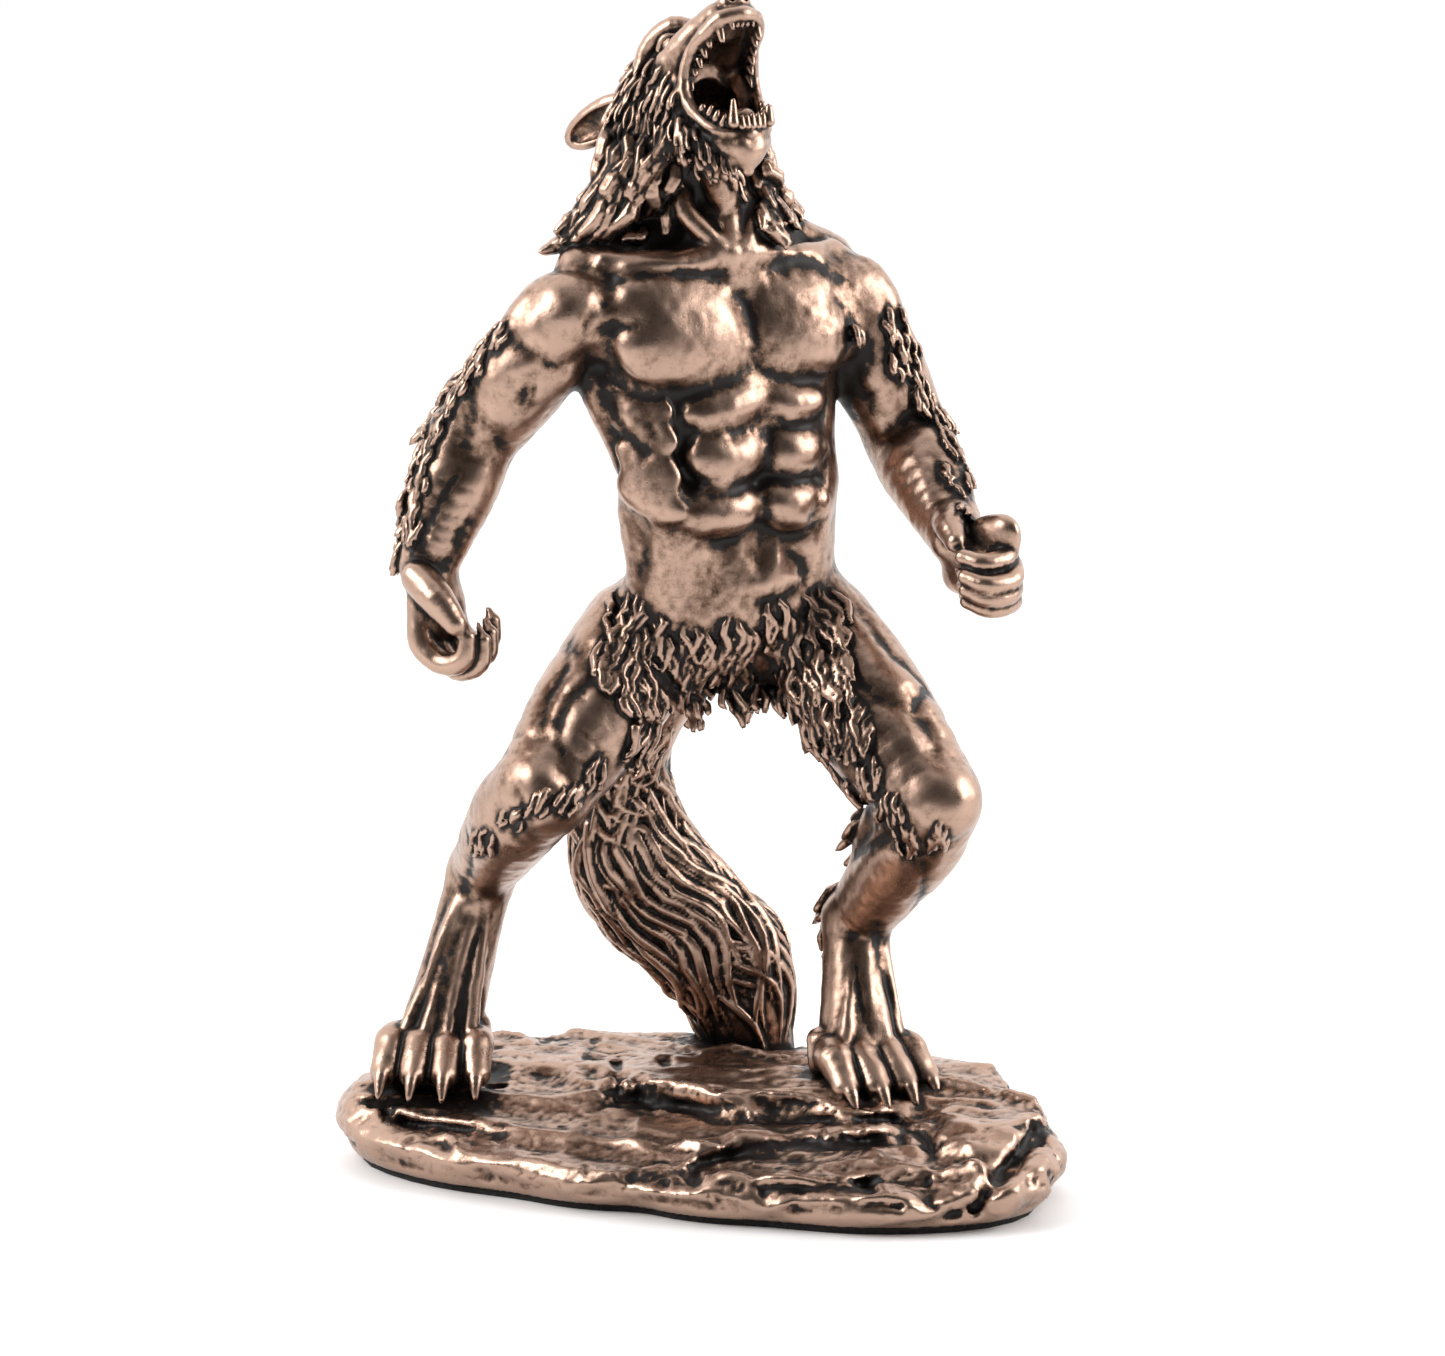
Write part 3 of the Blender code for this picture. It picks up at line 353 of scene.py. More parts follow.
class Clay:
    """Forms put on one after another, each blending into what is already there."""

    CELL = 9.0

    def __init__(self, steps=()):
        self.steps = list(steps)

    def put(self, form, blend=1.2, kind="add", depth=0.0):
        self.steps.append((form, blend, kind, depth))

    def ball(self, centre, radii, frame=None, blend=1.2, kind="add"):
        self.put(Ball(centre, radii, None if frame is None else frame.axes), blend, kind)

    def belly(self, start, end, width, thick, out, blend=1.0, kind="add"):
        """A muscle: an ellipsoid from start to end, flattened along out."""
        start, end = np.asarray(start, float), np.asarray(end, float)
        along = unit(end - start)
        through = unit(np.asarray(out, float) - along * (along @ np.asarray(out, float)))
        across = np.cross(through, along)
        radii = (np.linalg.norm(end - start) / 2, width, thick)
        self.put(Ball((start + end) / 2, radii, [along, across, through]), blend, kind)

    def limb(self, points, radii, blend=1.2, wide=1.0, across=(1, 0, 0), kind="add"):
        """A rope through points, its path and its thickness both flowing."""
        run = np.column_stack([np.asarray(points, float), np.asarray(radii, float)])
        if 2 < len(run) < 7:
            run = flowing(run, 4)
        self.put(Limb(run[:, :3], np.maximum(run[:, 3], 0.2), wide, across), blend, kind)

    def crease(self, points, width, depth):
        """A soft groove along points. A negative depth raises a ridge."""
        self.put(Limb(points, [0.0] * len(points)), width, "crease", depth)

    def field(self, points):
        """How far each point lies outside the blended surface."""
        cells = np.floor(points / self.CELL).astype(int)
        cells -= cells.min(0)
        key = (cells[:, 0] * 4096 + cells[:, 1]) * 4096 + cells[:, 2]
        order = np.argsort(key, kind="stable")
        groups = np.split(order, np.flatnonzero(np.diff(key[order])) + 1)
        centres = np.array([form.centre for form, *_ in self.steps])
        margin = np.array([form.half + blend * 1.5 + 2.0 for form, blend, *_ in self.steps])
        value = np.full(len(points), FAR)

        def measure(chosen):
            here = points[chosen]
            low, high = here.min(0), here.max(0)
            apart = np.abs(centres - (low + high) / 2) - margin - (high - low) / 2
            value[chosen] = self.mixed(here, np.flatnonzero(apart.max(1) < 0))

        with ThreadPoolExecutor(4) as workers:
            list(workers.map(measure, groups))
        return value

    def mixed(self, points, near):
        there = np.full(len(points), FAR)
        for index in near:
            form, blend, kind, depth = self.steps[index]
            gap = form.distance(points)
            if kind == "crease":
                there = there + depth * np.exp(-((gap / blend) ** 2))
                continue
            if kind == "dig":
                there = -there
            overlap = np.maximum(blend - np.abs(there - gap), 0)
            there = np.minimum(there, gap) - overlap**2 / (4 * blend)
            if kind == "dig":
                there = -there
        return there

    def blank(self):
        """All the added forms as one mesh of overlapping blocks."""
        spots, faces = [], []
        for form, _, kind, _ in self.steps:
            if kind != "add":
                continue
            block = bmesh.new()
            form.blank(block)
            block.verts.index_update()
            first = len(spots)
            spots += [vert.co[:] for vert in block.verts]
            faces += [[first + vert.index for vert in face.verts] for face in block.faces]
            block.free()
        mesh = bpy.data.meshes.new("blank")
        mesh.from_pydata(spots, [], faces)
        return mesh


# Places on the figure, in shares: x to the viewer's right, y away from the viewer, z above the table
PELVIS = Frame((5.6, 15, 105), azimuth=25)
WAIST = Frame((5.6, 12.5, 128), azimuth=29)
CHEST = Frame((3.2, 10, 159), azimuth=28, pitch=6)
HEAD = Frame((-3.4, 6.2, 212.8), azimuth=31, pitch=38)

SHOULDERS = {RIGHT: vec(-25.2, -3, 169.4), LEFT: vec(27.8, 23, 170.4)}
ELBOWS = {RIGHT: vec(-45.2, 7, 144), LEFT: vec(40.3, 27, 142)}
WRISTS = {RIGHT: vec(-53.4, 1, 120.0), LEFT: vec(49.2, 3, 125.5)}
HIPS = {RIGHT: vec(-12.5, 14, 103), LEFT: vec(22.4, 19, 103)}
KNEES = {RIGHT: vec(-31.0, -5, 77.5), LEFT: vec(44.4, -4, 75)}
HOCKS = {RIGHT: vec(-44.4, 23, 55), LEFT: vec(30.4, 19, 46)}
FEET = {RIGHT: vec(-53.2, 18, 22), LEFT: vec(30.6, 9, 22.5)}
HEADINGS = {RIGHT: -6.0, LEFT: 30.0}
SOLE = 14.0


def torso(clay):
    """Chest, ribs, belly, back and pelvis."""
    clay.ball(PELVIS.at(0, -1, 2), (22.5, 12.5, 14), PELVIS, blend=5)
    clay.ball(WAIST.at(0, -0.5, 2), (20.8, 12.5, 25), WAIST, blend=6)
    clay.ball(CHEST.at(0, -2, -1), (23.6, 14.5, 25), CHEST, blend=7)
    clay.ball(CHEST.at(0, -3, 14), (27, 10, 8.5), CHEST, blend=5)
    clay.ball(WAIST.at(0, -1, -13), (21.6, 12.4, 13), WAIST, blend=6)
    # Soft belly below the navel
    clay.ball(WAIST.at(2, 5.2, -10), (12, 7.5, 13), WAIST, blend=4)
    for hand in (RIGHT, LEFT):
        # Broad muscle of the back, seen at the side under the arm
        clay.limb(
            [CHEST.at(hand * 22.5, -5, 12), CHEST.at(hand * 23.5, -4.5, -1), CHEST.at(hand * 19, -4, -18)],
            [6.5, 5.2, 3.0],
            blend=3,
        )
        # Trapezius, from the neck out to the shoulder
        clay.limb(
            [CHEST.at(hand * 5, -4, 31), CHEST.at(hand * 14, -5, 24), CHEST.at(hand * 27, -4, 19)],
            [5.5, 6.4, 5.0],
            blend=3,
        )
        # Collar bone
        clay.limb(
            [CHEST.at(hand * 2.5, 10.5, 21), CHEST.at(hand * 12, 8.4, 20), CHEST.at(hand * 25, 2, 20.5)],
            [1.9, 1.5, 2.0],
            blend=2.2,
        )
        # Chest muscle: its fan under the collar bone, its edge to the armpit and its round lower part
        clay.ball(CHEST.at(hand * 13, 6.0, 11.2), (14.0, 6.2, 9.5), CHEST, blend=4.0)
        clay.belly(
            CHEST.at(hand * 6, 8, 7), CHEST.at(hand * 31, -0.4, 9.5), 9.0, 5.6,
            CHEST.way(hand * 0.4, 1, 0), blend=3.0,
        )
        clay.ball(CHEST.at(hand * 12.8 + 0.8, 7.4, 4.8), (14.2, 6.6, 10.6), CHEST, blend=2.4)
        # Slips of muscle over the ribs
        for slip in range(4):
            clay.belly(
                CHEST.at(hand * (25.0 - 0.8 * slip), 0, -2 - 6.5 * slip),
                CHEST.at(hand * (15.5 - 0.2 * slip), 9.6, -9 - 6.5 * slip),
                3.3, 1.7, CHEST.way(hand, 1, 0), blend=3.0,
            )
        # Flank muscle down to the rim of the hip
        clay.belly(
            CHEST.at(hand * 18.5, 2, -20), WAIST.at(hand * 14.5, 4.5, -12), 9.0, 4.0,
            WAIST.way(hand, 0.6, 0), blend=5,
        )
        # Back: shoulder blades, the broad muscle, the cords beside the spine and the seat
        clay.ball(CHEST.at(hand * 14, -12, 8), (9.5, 4.5, 11), CHEST, blend=1.6)
        clay.belly(
            CHEST.at(hand * 8, -11.5, 18), CHEST.at(hand * 24, -7.5, 16), 5.0, 4.0,
            CHEST.way(0, -1, 0.4), blend=1.4,
        )
        clay.belly(
            CHEST.at(hand * 21, -8.5, 3), WAIST.at(hand * 7, -9.5, 2), 8.0, 4.5,
            CHEST.way(hand * 0.4, -1, 0), blend=1.8,
        )
        clay.limb(
            [CHEST.at(hand * 4.6, -12.6, 4), WAIST.at(hand * 4.6, -10.8, 4), PELVIS.at(hand * 5, -9, 4)],
            [3.4, 4.2, 3.4],
            blend=1.8,
        )
        clay.ball(PELVIS.at(hand * 9.6, -7.5, -5), (10.2, 8.8, 10.5), PELVIS, blend=1.4)
    # Belly muscles in three rows
    for row, (height, tall, middle) in enumerate(((-8.8, 5.4, 3.0), (-18.0, 6.2, 3.2), (-28.0, 6.0, 2.0))):
        for hand, width in ((RIGHT, 8.6), (LEFT, 7.8)):
            clay.ball(
                CHEST.at(middle + hand * (width - 1.0), 9.3 - 0.2 * row, height), (width, 3.8, tall), CHEST,
                blend=2.2,
            )


def neck(clay):
    """The neck and the cords of its front."""
    clay.limb([CHEST.at(0, 1, 20), CHEST.at(-0.5, 0, 34), HEAD.at(0, -7, -6)], [10.5, 9, 8.5], blend=4)
    clay.limb([CHEST.at(0, -5, 25), HEAD.at(0, -11, -1)], [9, 8], blend=4)
    # Cords of the throat and the windpipe between them
    clay.limb(
        [HEAD.at(-7, -9, -12), CHEST.at(-9.8, 5, 35), CHEST.at(-9.6, 7.2, 29), CHEST.at(-4.6, 10.6, 22.2)],
        [2.6, 2.3, 2.2, 1.6], blend=1.1,
    )
    clay.limb(
        [HEAD.at(7, -9, -12), CHEST.at(6.6, 5, 33), CHEST.at(3.0, 9.6, 25.6), CHEST.at(0.6, 11, 21.6)],
        [2.4, 2.2, 2.0, 1.5], blend=1.1,
    )
    clay.limb(
        [HEAD.at(0, -1, -16), CHEST.at(-1.5, 8.2, 30), CHEST.at(-1.2, 9.2, 24)], [3.4, 2.8, 2.4], blend=1.1
    )
    # Thick body of the mane, which the locks stand on
    top, middle, low = HEAD.at(0, -7, -3), CHEST.at(-1, -5, 34), CHEST.at(0, -13, 19)
    clay.limb([top, middle, low], [9.0, 10.5, 7.5], blend=3, wide=1.4, across=CHEST.way(1, 0, 0))


def skull(clay):
    """The head before its mouth, eyes and ears."""
    at = HEAD.at
    clay.ball(at(0, -2, 0.5), (9.6, 11.5, 8.6), HEAD, blend=3)
    clay.ball(at(0, -8, 2), (8.5, 9, 7.5), HEAD, blend=2)
    # Upper jaw: the bridge and the fill under it
    clay.limb(flowing([at(0, 5, 3.4), at(0, 14, 1.8), at(0, 22, 1.4)]), np.linspace(4.9, 3.0, 7), blend=2)
    for hand in (RIGHT, LEFT):
        clay.limb(
            [at(hand * 5.6, 8, 0), at(hand * 4.4, 15, 0.6), at(hand * 3.0, 21, 0.6)],
            [3.8, 3.1, 2.7],
            blend=1.2
        )
        # Cheek wall, jaw joint and the lower jaw
        clay.ball(at(hand * 6.6, 2, -6), (3.2, 8.0, 8.5), HEAD, blend=2)
        clay.limb(
            flowing(
                [
                    at(hand * 6.2, 0, -9),
                    at(hand * 6, 5, -15),
                    at(hand * 4.4, 9, -19.5),
                    at(hand * 1.5, 11.6, -21.5),
                ],
            ),
            np.linspace(3.2, 2.3, 10), blend=1.4,
        )


def face(clay):
    """The eyes, ears, nose and the open mouth."""
    at, flat = HEAD.at, HEAD.way(1, 0, 0)
    for hand in (RIGHT, LEFT):
        # Brow, eye socket and eye
        clay.limb(
            flowing(
                [
                    at(hand * 2.2, 11.5, 5.2),
                    at(hand * 4.4, 9.2, 7.2),
                    at(hand * 6.8, 4.2, 7),
                    at(hand * 8.4, 0.5, 4.5),
                ],
            ),
            (1.4, 1.5, 1.7, 1.9, 2.0, 2.0, 2.0, 1.9, 1.8, 1.6), blend=1.0,
        )
        clay.ball(at(hand * 7.0, 8.6, 3.2), (2.4, 2.8, 2.1), HEAD, blend=0.6, kind="dig")
        clay.ball(at(hand * 5.6, 8.2, 3.2), (1.7, 1.7, 1.7), HEAD, blend=0.2)
        clay.limb([at(hand * 5.0, 10.0, 4.2), at(hand * 6.9, 8.6, 4.9), at(hand * 7.4, 6.4, 3.8)], [
            0.5, 0.6, 0.5
        ],
                  blend=0.3)
        clay.limb([at(hand * 4.8, 10.2, 3.0), at(hand * 6.4, 9.0, 1.8), at(hand * 7.2, 6.6, 2.4)], [
            0.5, 0.5, 0.5
        ],
                  blend=0.3)
        # Ear, laid back, with its cup and its rim
        root, tip = at(hand * 7.6, -9.5, 2.4), at(hand * 13.6, -25.4, 4.2)
        facing = HEAD.way(hand * 0.9, 0.5, -0.5)
        clay.belly(root - (tip - root) * 0.12, tip, 4.1, 2.2, facing, blend=1.0)
        clay.belly(root + facing * 2.3, tip + facing * 1.5 - (tip - root) * 0.1, 2.5, 1.7, facing, blend=0.4,
                   kind="dig")
    clay.ball(at(0, 24.4, 1.6), (3.3, 2.1, 2.5), HEAD, blend=0.7)
    clay.ball(at(0, 10.2, -22.8), (3.6, 3.2, 3.0), HEAD, blend=2.0)
    clay.limb([at(0, 10.4, -23), at(0, 9, -26.0)], [2.4, 1.0], blend=1)
    clay.limb([at(0, -3, -11), at(0, 1.5, -16), at(0, 5.5, -20)], [5, 4.0, 3.2], blend=1.5)
    # Open mouth and throat, then the palate above it
    clay.ball(at(0, 13, -9.4), (6.4, 7.8, 8.2), HEAD, blend=0.8, kind="dig")
    clay.ball(at(0, 5.5, -8.5), (4.6, 5, 4.6), HEAD, blend=0.8, kind="dig")
    for side in (-1.4, 1.4):
        clay.ball(at(side, 26.2, 1.5), (0.75, 1.3, 0.75), HEAD, blend=0.3, kind="dig")
    for hand in (RIGHT, LEFT):
        ring = flowing([
            at(hand * 0.6, 25.2, -1.6), at(hand * 3.6, 23.6, -1.5), at(hand * 5.6, 19.4, -2.0),
            at(hand * 6.6, 14.9, -2.8), at(hand * 7.6, 10.8, -6.2), at(hand * 7.8, 9.4, -10.3),
            at(hand * 6.8, 10.2, -15),
            at(hand * 5.4, 11.4, -18.3),
            at(hand * 2.8, 13, -20),
            at(0, 13.6, -20.6),
        ], 2)
        clay.limb(
            ring, np.interp(np.arange(len(ring)), (0, 4, 8, 12, 18), (1.5, 1.6, 1.2, 1.2, 1.4)), blend=0.8
        )
    clay.limb(
        flowing([at(0, 5, -13), at(0, 9.5, -16), at(0, 13.4, -17.2)]), np.linspace(3.2, 1.9, 7),
        blend=0.6, wide=1.3, across=flat,
    )
    clay.crease([at(0, 7, -11), at(0, 11, -13.6), at(0, 14.5, -15.2)], 0.5, 0.5)
    teeth(clay)


def teeth(clay):
    """Two rows of teeth with their fangs."""
    at = HEAD.at

    def fang(root, tip, thick, thin=0.3):
        clay.limb([at(*root), at(*tip)], [thick, thin], blend=0.25)

    for hand in (RIGHT, LEFT):
        fang((hand * 3.9, 22.6, -2.0), (hand * 4.2, 21.6, -6.6), 1.15)
        fang((hand * 3.9, 15.6, -19.6), (hand * 3.9, 18.6, -15.4), 1.05)
        for place in range(5):
            share = place / 4
            root = (hand * (5.0 + 1.5 * share), 19.0 - 8.0 * share, -3.0 - 3.4 * share)
            fang(root, (root[0], root[1] - 0.3, root[2] - 2.3), 0.85, 0.3)
        for place in range(4):
            share = place / 3
            root = (hand * (4.8 + 1.8 * share), 13.4 - 1.8 * share, -18.2 + 4.8 * share)
            fang(root, (root[0] * 0.96, root[1] + 1.8, root[2] + 1.0), 0.75, 0.3)
    for place in range(5):
        side = (place - 2) * 1.15
        fang((side, 24.2, -2.4), (side, 24.0, -4.2), 0.62, 0.35)
        fang((side, 15.6, -20.4), (side, 17.0, -18.2), 0.6, 0.35)


def arms(clay):
    """Shoulders, upper arms and forearms."""
    for hand in (RIGHT, LEFT):
        shoulder, elbow, wrist = SHOULDERS[hand], ELBOWS[hand], WRISTS[hand]
        out = CHEST.way(hand, 0, 0)
        front = CHEST.way(0, 1, 0)
        upper, lower = elbow - shoulder, wrist - elbow
        clay.limb([shoulder, shoulder + upper * 0.5, elbow], [8.6, 9.4, 8.2], blend=3)
        clay.limb([elbow, elbow + lower * 0.3, elbow + lower * 0.7, wrist], [8.2, 8.6, 6.8, 5.6], blend=2)
        # Shoulder cap in three heads
        for turn, size in ((-1.0, 6.6), (-0.05, 7.4), (0.95, 6.6)):
            way = unit(out * math.cos(turn) + front * math.sin(turn))
            start = shoulder + way * 2.0 + vec(0, 0, 7.5)
            end = shoulder + way * 4.2 + upper * 0.5
            clay.belly(start, end, size * 0.74, 5.8, way, blend=0.9)
        # Biceps, triceps and the muscle between them
        clay.belly(
            shoulder + upper * 0.25 + front * 4.7, shoulder + upper * 0.98 + front * 3.4, 5.6, 5.0, front,
            blend=0.9,
        )
        behind = out * 2 - front * 3.5
        clay.belly(
            shoulder + upper * 0.15 + behind,
            shoulder + upper * 0.97 + behind,
            6.2,
            5.2,
            out - front,
            blend=1.0
        )
        clay.belly(
            shoulder + upper * 0.4 + out * 4.5, elbow + upper * 0.02 + out * 4.2, 3.8, 3.6, out, blend=0.9
        )
        # Forearm: the outer and inner bellies, and the bone of the elbow
        clay.belly(
            elbow - lower * 0.2 + out * 3, elbow + lower * 0.72 + out * 2.8, 5.0, 5.2, out, blend=1.0
        )
        clay.belly(
            elbow - lower * 0.05 - out * 2.5, elbow + lower * 0.8 - out * 2, 4.6, 4.6, -out, blend=1.0
        )
        clay.belly(
            elbow + lower * 0.1 + front * 3, elbow + lower * 0.95 + front * 2, 3.6, 4.0, front, blend=0.9
        )
        clay.limb([elbow + lower * 0.1 - front * 4.5, wrist - front * 2.5 + out], [3.0, 2.4], blend=1.5)


def legs(clay):
    """Thighs, knees, shanks, hocks and insteps."""
    for hand in (RIGHT, LEFT):
        hip, knee, hock, foot = HIPS[hand], KNEES[hand], HOCKS[hand], FEET[hand]
        thigh, shank, instep = knee - hip, hock - knee, foot - hock
        ahead = unit(knee - (hip + hock) / 2)
        out = unit(np.cross(thigh, ahead))
        if out[0] * hand < 0:
            out = -out
        clay.limb([hip, hip + thigh * 0.5, knee], [12.6, 12.4, 9.4], blend=4)
        clay.limb([knee, knee + shank * 0.35 + ahead * 1.5 + out, hock], [9.0, 9.4, 6.6], blend=2.5)
        clay.limb([hock, hock + instep * 0.45, foot], [6.6, 7.0, 8.0], blend=2)
        # Thigh: front, outer and inner muscles, and the hamstrings
        clay.belly(
            hip + thigh * 0.02 + ahead * 5, knee - thigh * 0.02 + ahead * 3, 6.6, 6.8, ahead, blend=0.9
        )
        clay.belly(hip + thigh * 0.1 + out * 7, knee - thigh * 0.05 + out * 4.5, 6.4, 6.0, out, blend=0.9)
        clay.belly(
            hip + thigh * 0.35 - out * 6 + ahead * 2, knee + thigh * 0.03 - out * 3.5 + ahead * 1.5,
            6.2, 5.8, -out, blend=0.9,
        )
        clay.belly(hip + thigh * 0.05 - ahead * 6, knee - ahead * 5, 7.5, 6.0, -ahead, blend=1.5)
        clay.belly(hip + thigh * 0.02 + out * 3.5, hip + thigh * 0.5 + out * 6.5, 6.6, 4.6, out, blend=1.0)
        # Knee cap, calf, shin muscle and heel cord
        clay.ball(knee + ahead * 4.2, (6.2, 6.2, 7.0), blend=1.6)
        clay.belly(
            knee - shank * 0.1 - ahead * 7.0, knee + shank * 0.62 - ahead * 6.0, 6.2, 6.2, -ahead, blend=1.0
        )
        clay.belly(
            knee + ahead * 2.5 + out * 2, knee + shank * 0.9 + ahead * 2.5 + out, 5.0, 6.4, ahead, blend=1.0
        )
        heel = hock - unit(instep) * 1.5 + unit(shank - instep * 0.4) * 4.5
        clay.limb([hock - shank * 0.4 - ahead * 3, heel], [3.0, 4.2], blend=1.6)
        # Cords over the instep
        side = Frame((0, 0, 0), azimuth=HEADINGS[hand])
        for place in (-1.5, -0.5, 0.5, 1.5):
            clay.limb(
                [
                    hock + instep * 0.15 + side.at(place * 2.0, 5.4 - 0.5 * abs(place), 0),
                    hock + instep * 0.65 + side.at(place * 3.3, 6.6 - 0.9 * abs(place), 0),
                    foot + side.at(place * 4.6, 7.4 - 1.3 * abs(place), -1),
                ],
                [1.2, 1.6, 2.2],
                blend=0.7,
            )
        paw(clay, foot, HEADINGS[hand], hand)


def paw(clay, foot, heading, hand):
    """The toes spread from the ball of the foot, each with a claw that reaches the rock."""
    ground = Frame((foot[0], foot[1], SOLE), azimuth=heading)
    clay.ball(ground.at(0, 1, 4.2), (9.0, 8.0, 6.4), ground, blend=3)
    for place in range(4):
        side = (place - 1.5) * 5.4
        reach = 13.0 - abs(place - 1.5) * 1.8
        splay = side * 0.14
        knuckle = ground.at(side, reach * 0.38, 8.2)
        tip = ground.at(side + splay, reach, 3.4)
        clay.limb(
            [ground.at(side * 0.7, -3, 6.5), knuckle, (knuckle + tip) / 2 + vec(0, 0, 0.8), tip],
            [3.4, 3.8, 3.3, 2.9], blend=0.6,
        )
        claw = ground.at(side + splay * 1.4, reach + 5.0, -0.6)
        clay.limb(
            [tip + vec(0, 0, 0.8), (tip + claw) / 2 + vec(0, 0, 1.6), claw], [1.8, 1.5, 0.6], blend=0.3
        )
    # Dew claw on the inner side, above the ground
    inner = -hand
    clay.limb([ground.at(inner * 7.5, -2, 10), ground.at(inner * 9.0, 0.5, 6.0)], [2.8, 2.2], blend=1.0)


# The run of the tail with its thickness
TAIL = flowing(
    [
        (*PELVIS.at(0, -11, -3), 5),
        (-11, 29, 84, 6),
        (-17, 33, 70, 7.8),
        (-14.5, 35, 56, 9.2),
        (-5.5, 37.5, 43, 9.8),
        (5.5, 38.5, 31, 9.4),
        (11.0, 38, 13, 6.2),
    ]
)
TAIL_WIDE = 1.38
TAIL_ACROSS = unit((0.85, 0, 0.5))


def tail(clay):
    """The body of the tail, under its locks."""
    clay.limb(TAIL[:, :3], TAIL[:, 3] * 0.94, blend=2.5, wide=TAIL_WIDE, across=TAIL_ACROSS)


def hand_of(clay, origin, along, palm, thumb, scale):
    """A half-closed clawed hand on its wrist, with its fingers curled over the palm."""
    along, palm, thumb = unit(along), unit(palm), unit(thumb)

    def at(down, out, side):
        return origin + (along * down + palm * out + thumb * side) * scale

    def rope(points, radii, blend):
        clay.limb(points, [radius * scale for radius in radii], blend=blend)

    clay.put(Ball(at(6.5, 0, 0), np.array((8.0, 6.2, 3.6)) * scale, [along, thumb, palm]), 2.0)
    for place in range(4):
        side = 4.8 - place * 3.3
        size = (1.0, 1.08, 1.0, 0.86)[place]
        knuckle = at(12.5 * size**0.3, -0.8, side)
        middle = at(16.5 * size, 2.6, side * 0.95)
        bent = at(16.2 * size, 7.2 * size, side * 0.9)
        tip = at(12.6 * size, 9.0 * size, side * 0.88)
        rope([at(7, -0.3, side * 0.9), knuckle, middle, bent, tip], [1.9, 2.25, 1.9, 1.75, 1.4], 0.5)
        rope([tip, at(9.6 * size, 8.6 * size, side * 0.86)], [1.15, 0.35], 0.3)
    rope([at(1.5, 1.5, 4.5), at(5.5, 5.5, 5.8), at(10.0, 8.0, 5.4)], [3.2, 2.8, 2.0], 1.0)
    rope([at(10.0, 8.0, 5.4), at(13.2, 8.4, 4.8)], [1.3, 0.4], 0.3)


def hands(clay):
    """Both hands, each turned on its own wrist."""
    hand_of(clay, WRISTS[RIGHT], (0.22, -0.16, -1), (0.80, -0.6, 0.2), (-0.6, -0.8, 0.0), 1.14)
    hand_of(clay, WRISTS[LEFT], (0.62, -0.70, -0.36), (-0.77, -0.62, -0.1), (-0.12, 0.25, 0.96), 1.12)


# The pane: a sheet of glass before the figure, on which lines are drawn as the eye of the photo sees them
AIM = vec(3.7, -7, 99.5)
EYE = AIM + vec(0, -984.8, 173.6)
PANE_UP = vec(0, 0.1736, 0.9848)


# Where the middle of the photo's frame lies, and how many of its points go to one share of the height
PANE_MIDDLE = (722.5, 678.0)
PANE_SCALE = 5.18


def px(x, y):
    """A place on the pane, from the points of the photo's frame."""
    return (x - PANE_MIDDLE[0]) / PANE_SCALE, (PANE_MIDDLE[1] - y) / PANE_SCALE


def trail(*numbers):
    """A line on the pane, from the x and y of its places in turn."""
    return tuple(px(x, y) for x, y in zip(numbers[::2], numbers[1::2]))


def evenly(lines, count):
    """The same number of even places on each line."""
    spread = []
    for line in lines:
        places = np.linspace(0, len(line) - 1, count)
        spread.append(np.stack([np.interp(places, range(len(line)), axis) for axis in zip(*line)], 1))
    return spread


def hairs(*numbers):
    """Guide hairs on the pane, each from its root to its tip."""
    line = trail(*numbers)
    return [(*root, *tip) for root, tip in zip(line[::2], line[1::2])]


# Width, height (or depth) and line on the pane of the ledges and cracks of the rock
ROCK_LINES = (
    (1.4, -2.5, trail(392, 1114, 420, 1122, 455, 1128, 498, 1136)),
    (2.0, -1.3, trail(424, 1142, 438, 1150)),
    (3.3, 1.1, trail(430, 1136, 500, 1152, 600, 1163, 692, 1172)),
    (3.6, 1.5, trail(360, 1098, 372, 1084, 400, 1070)),
    (1.5, -1.1, trail(606, 1046, 612, 1070, 618, 1090)),
    (2.4, 1.2, trail(606, 1084, 660, 1090, 720, 1092, 835, 1088)),
    (1.7, -1.9, trail(606, 1099, 660, 1106, 720, 1116, 800, 1119, 893, 1117)),
    (2.0, 1.0, trail(640, 1126, 720, 1138, 800, 1132, 890, 1128)),
    (1.7, -2.1, trail(688, 1186, 702, 1166, 770, 1156, 845, 1145, 900, 1140)),
    (2.4, 0.9, trail(720, 1176, 790, 1170, 860, 1160)),
    (1.8, -1.7, trail(760, 1196, 800, 1188, 873, 1186)),
    (1.5, -1.4, trail(800, 1208, 850, 1202, 900, 1206)),
    (4.8, 1.7, trail(962, 1112, 972, 1150, 980, 1186)),
    (2.0, -3.0, trail(978, 1204, 1000, 1176, 1020, 1152, 1038, 1136)),
    (3.0, 1.5, trail(1006, 1206, 1030, 1180, 1046, 1160)),
    (1.8, -1.3, trail(900, 1120, 925, 1140, 935, 1170, 932, 1200)),
)


def rock():
    """The boulder in shares of the figure."""
    return Rock(
        ROCK_LENGTH / SHARE, ROCK_DEPTH / SHARE, ROCK_BACK_HEIGHT / SHARE, ROCK_FRONT_HEIGHT / SHARE
    )


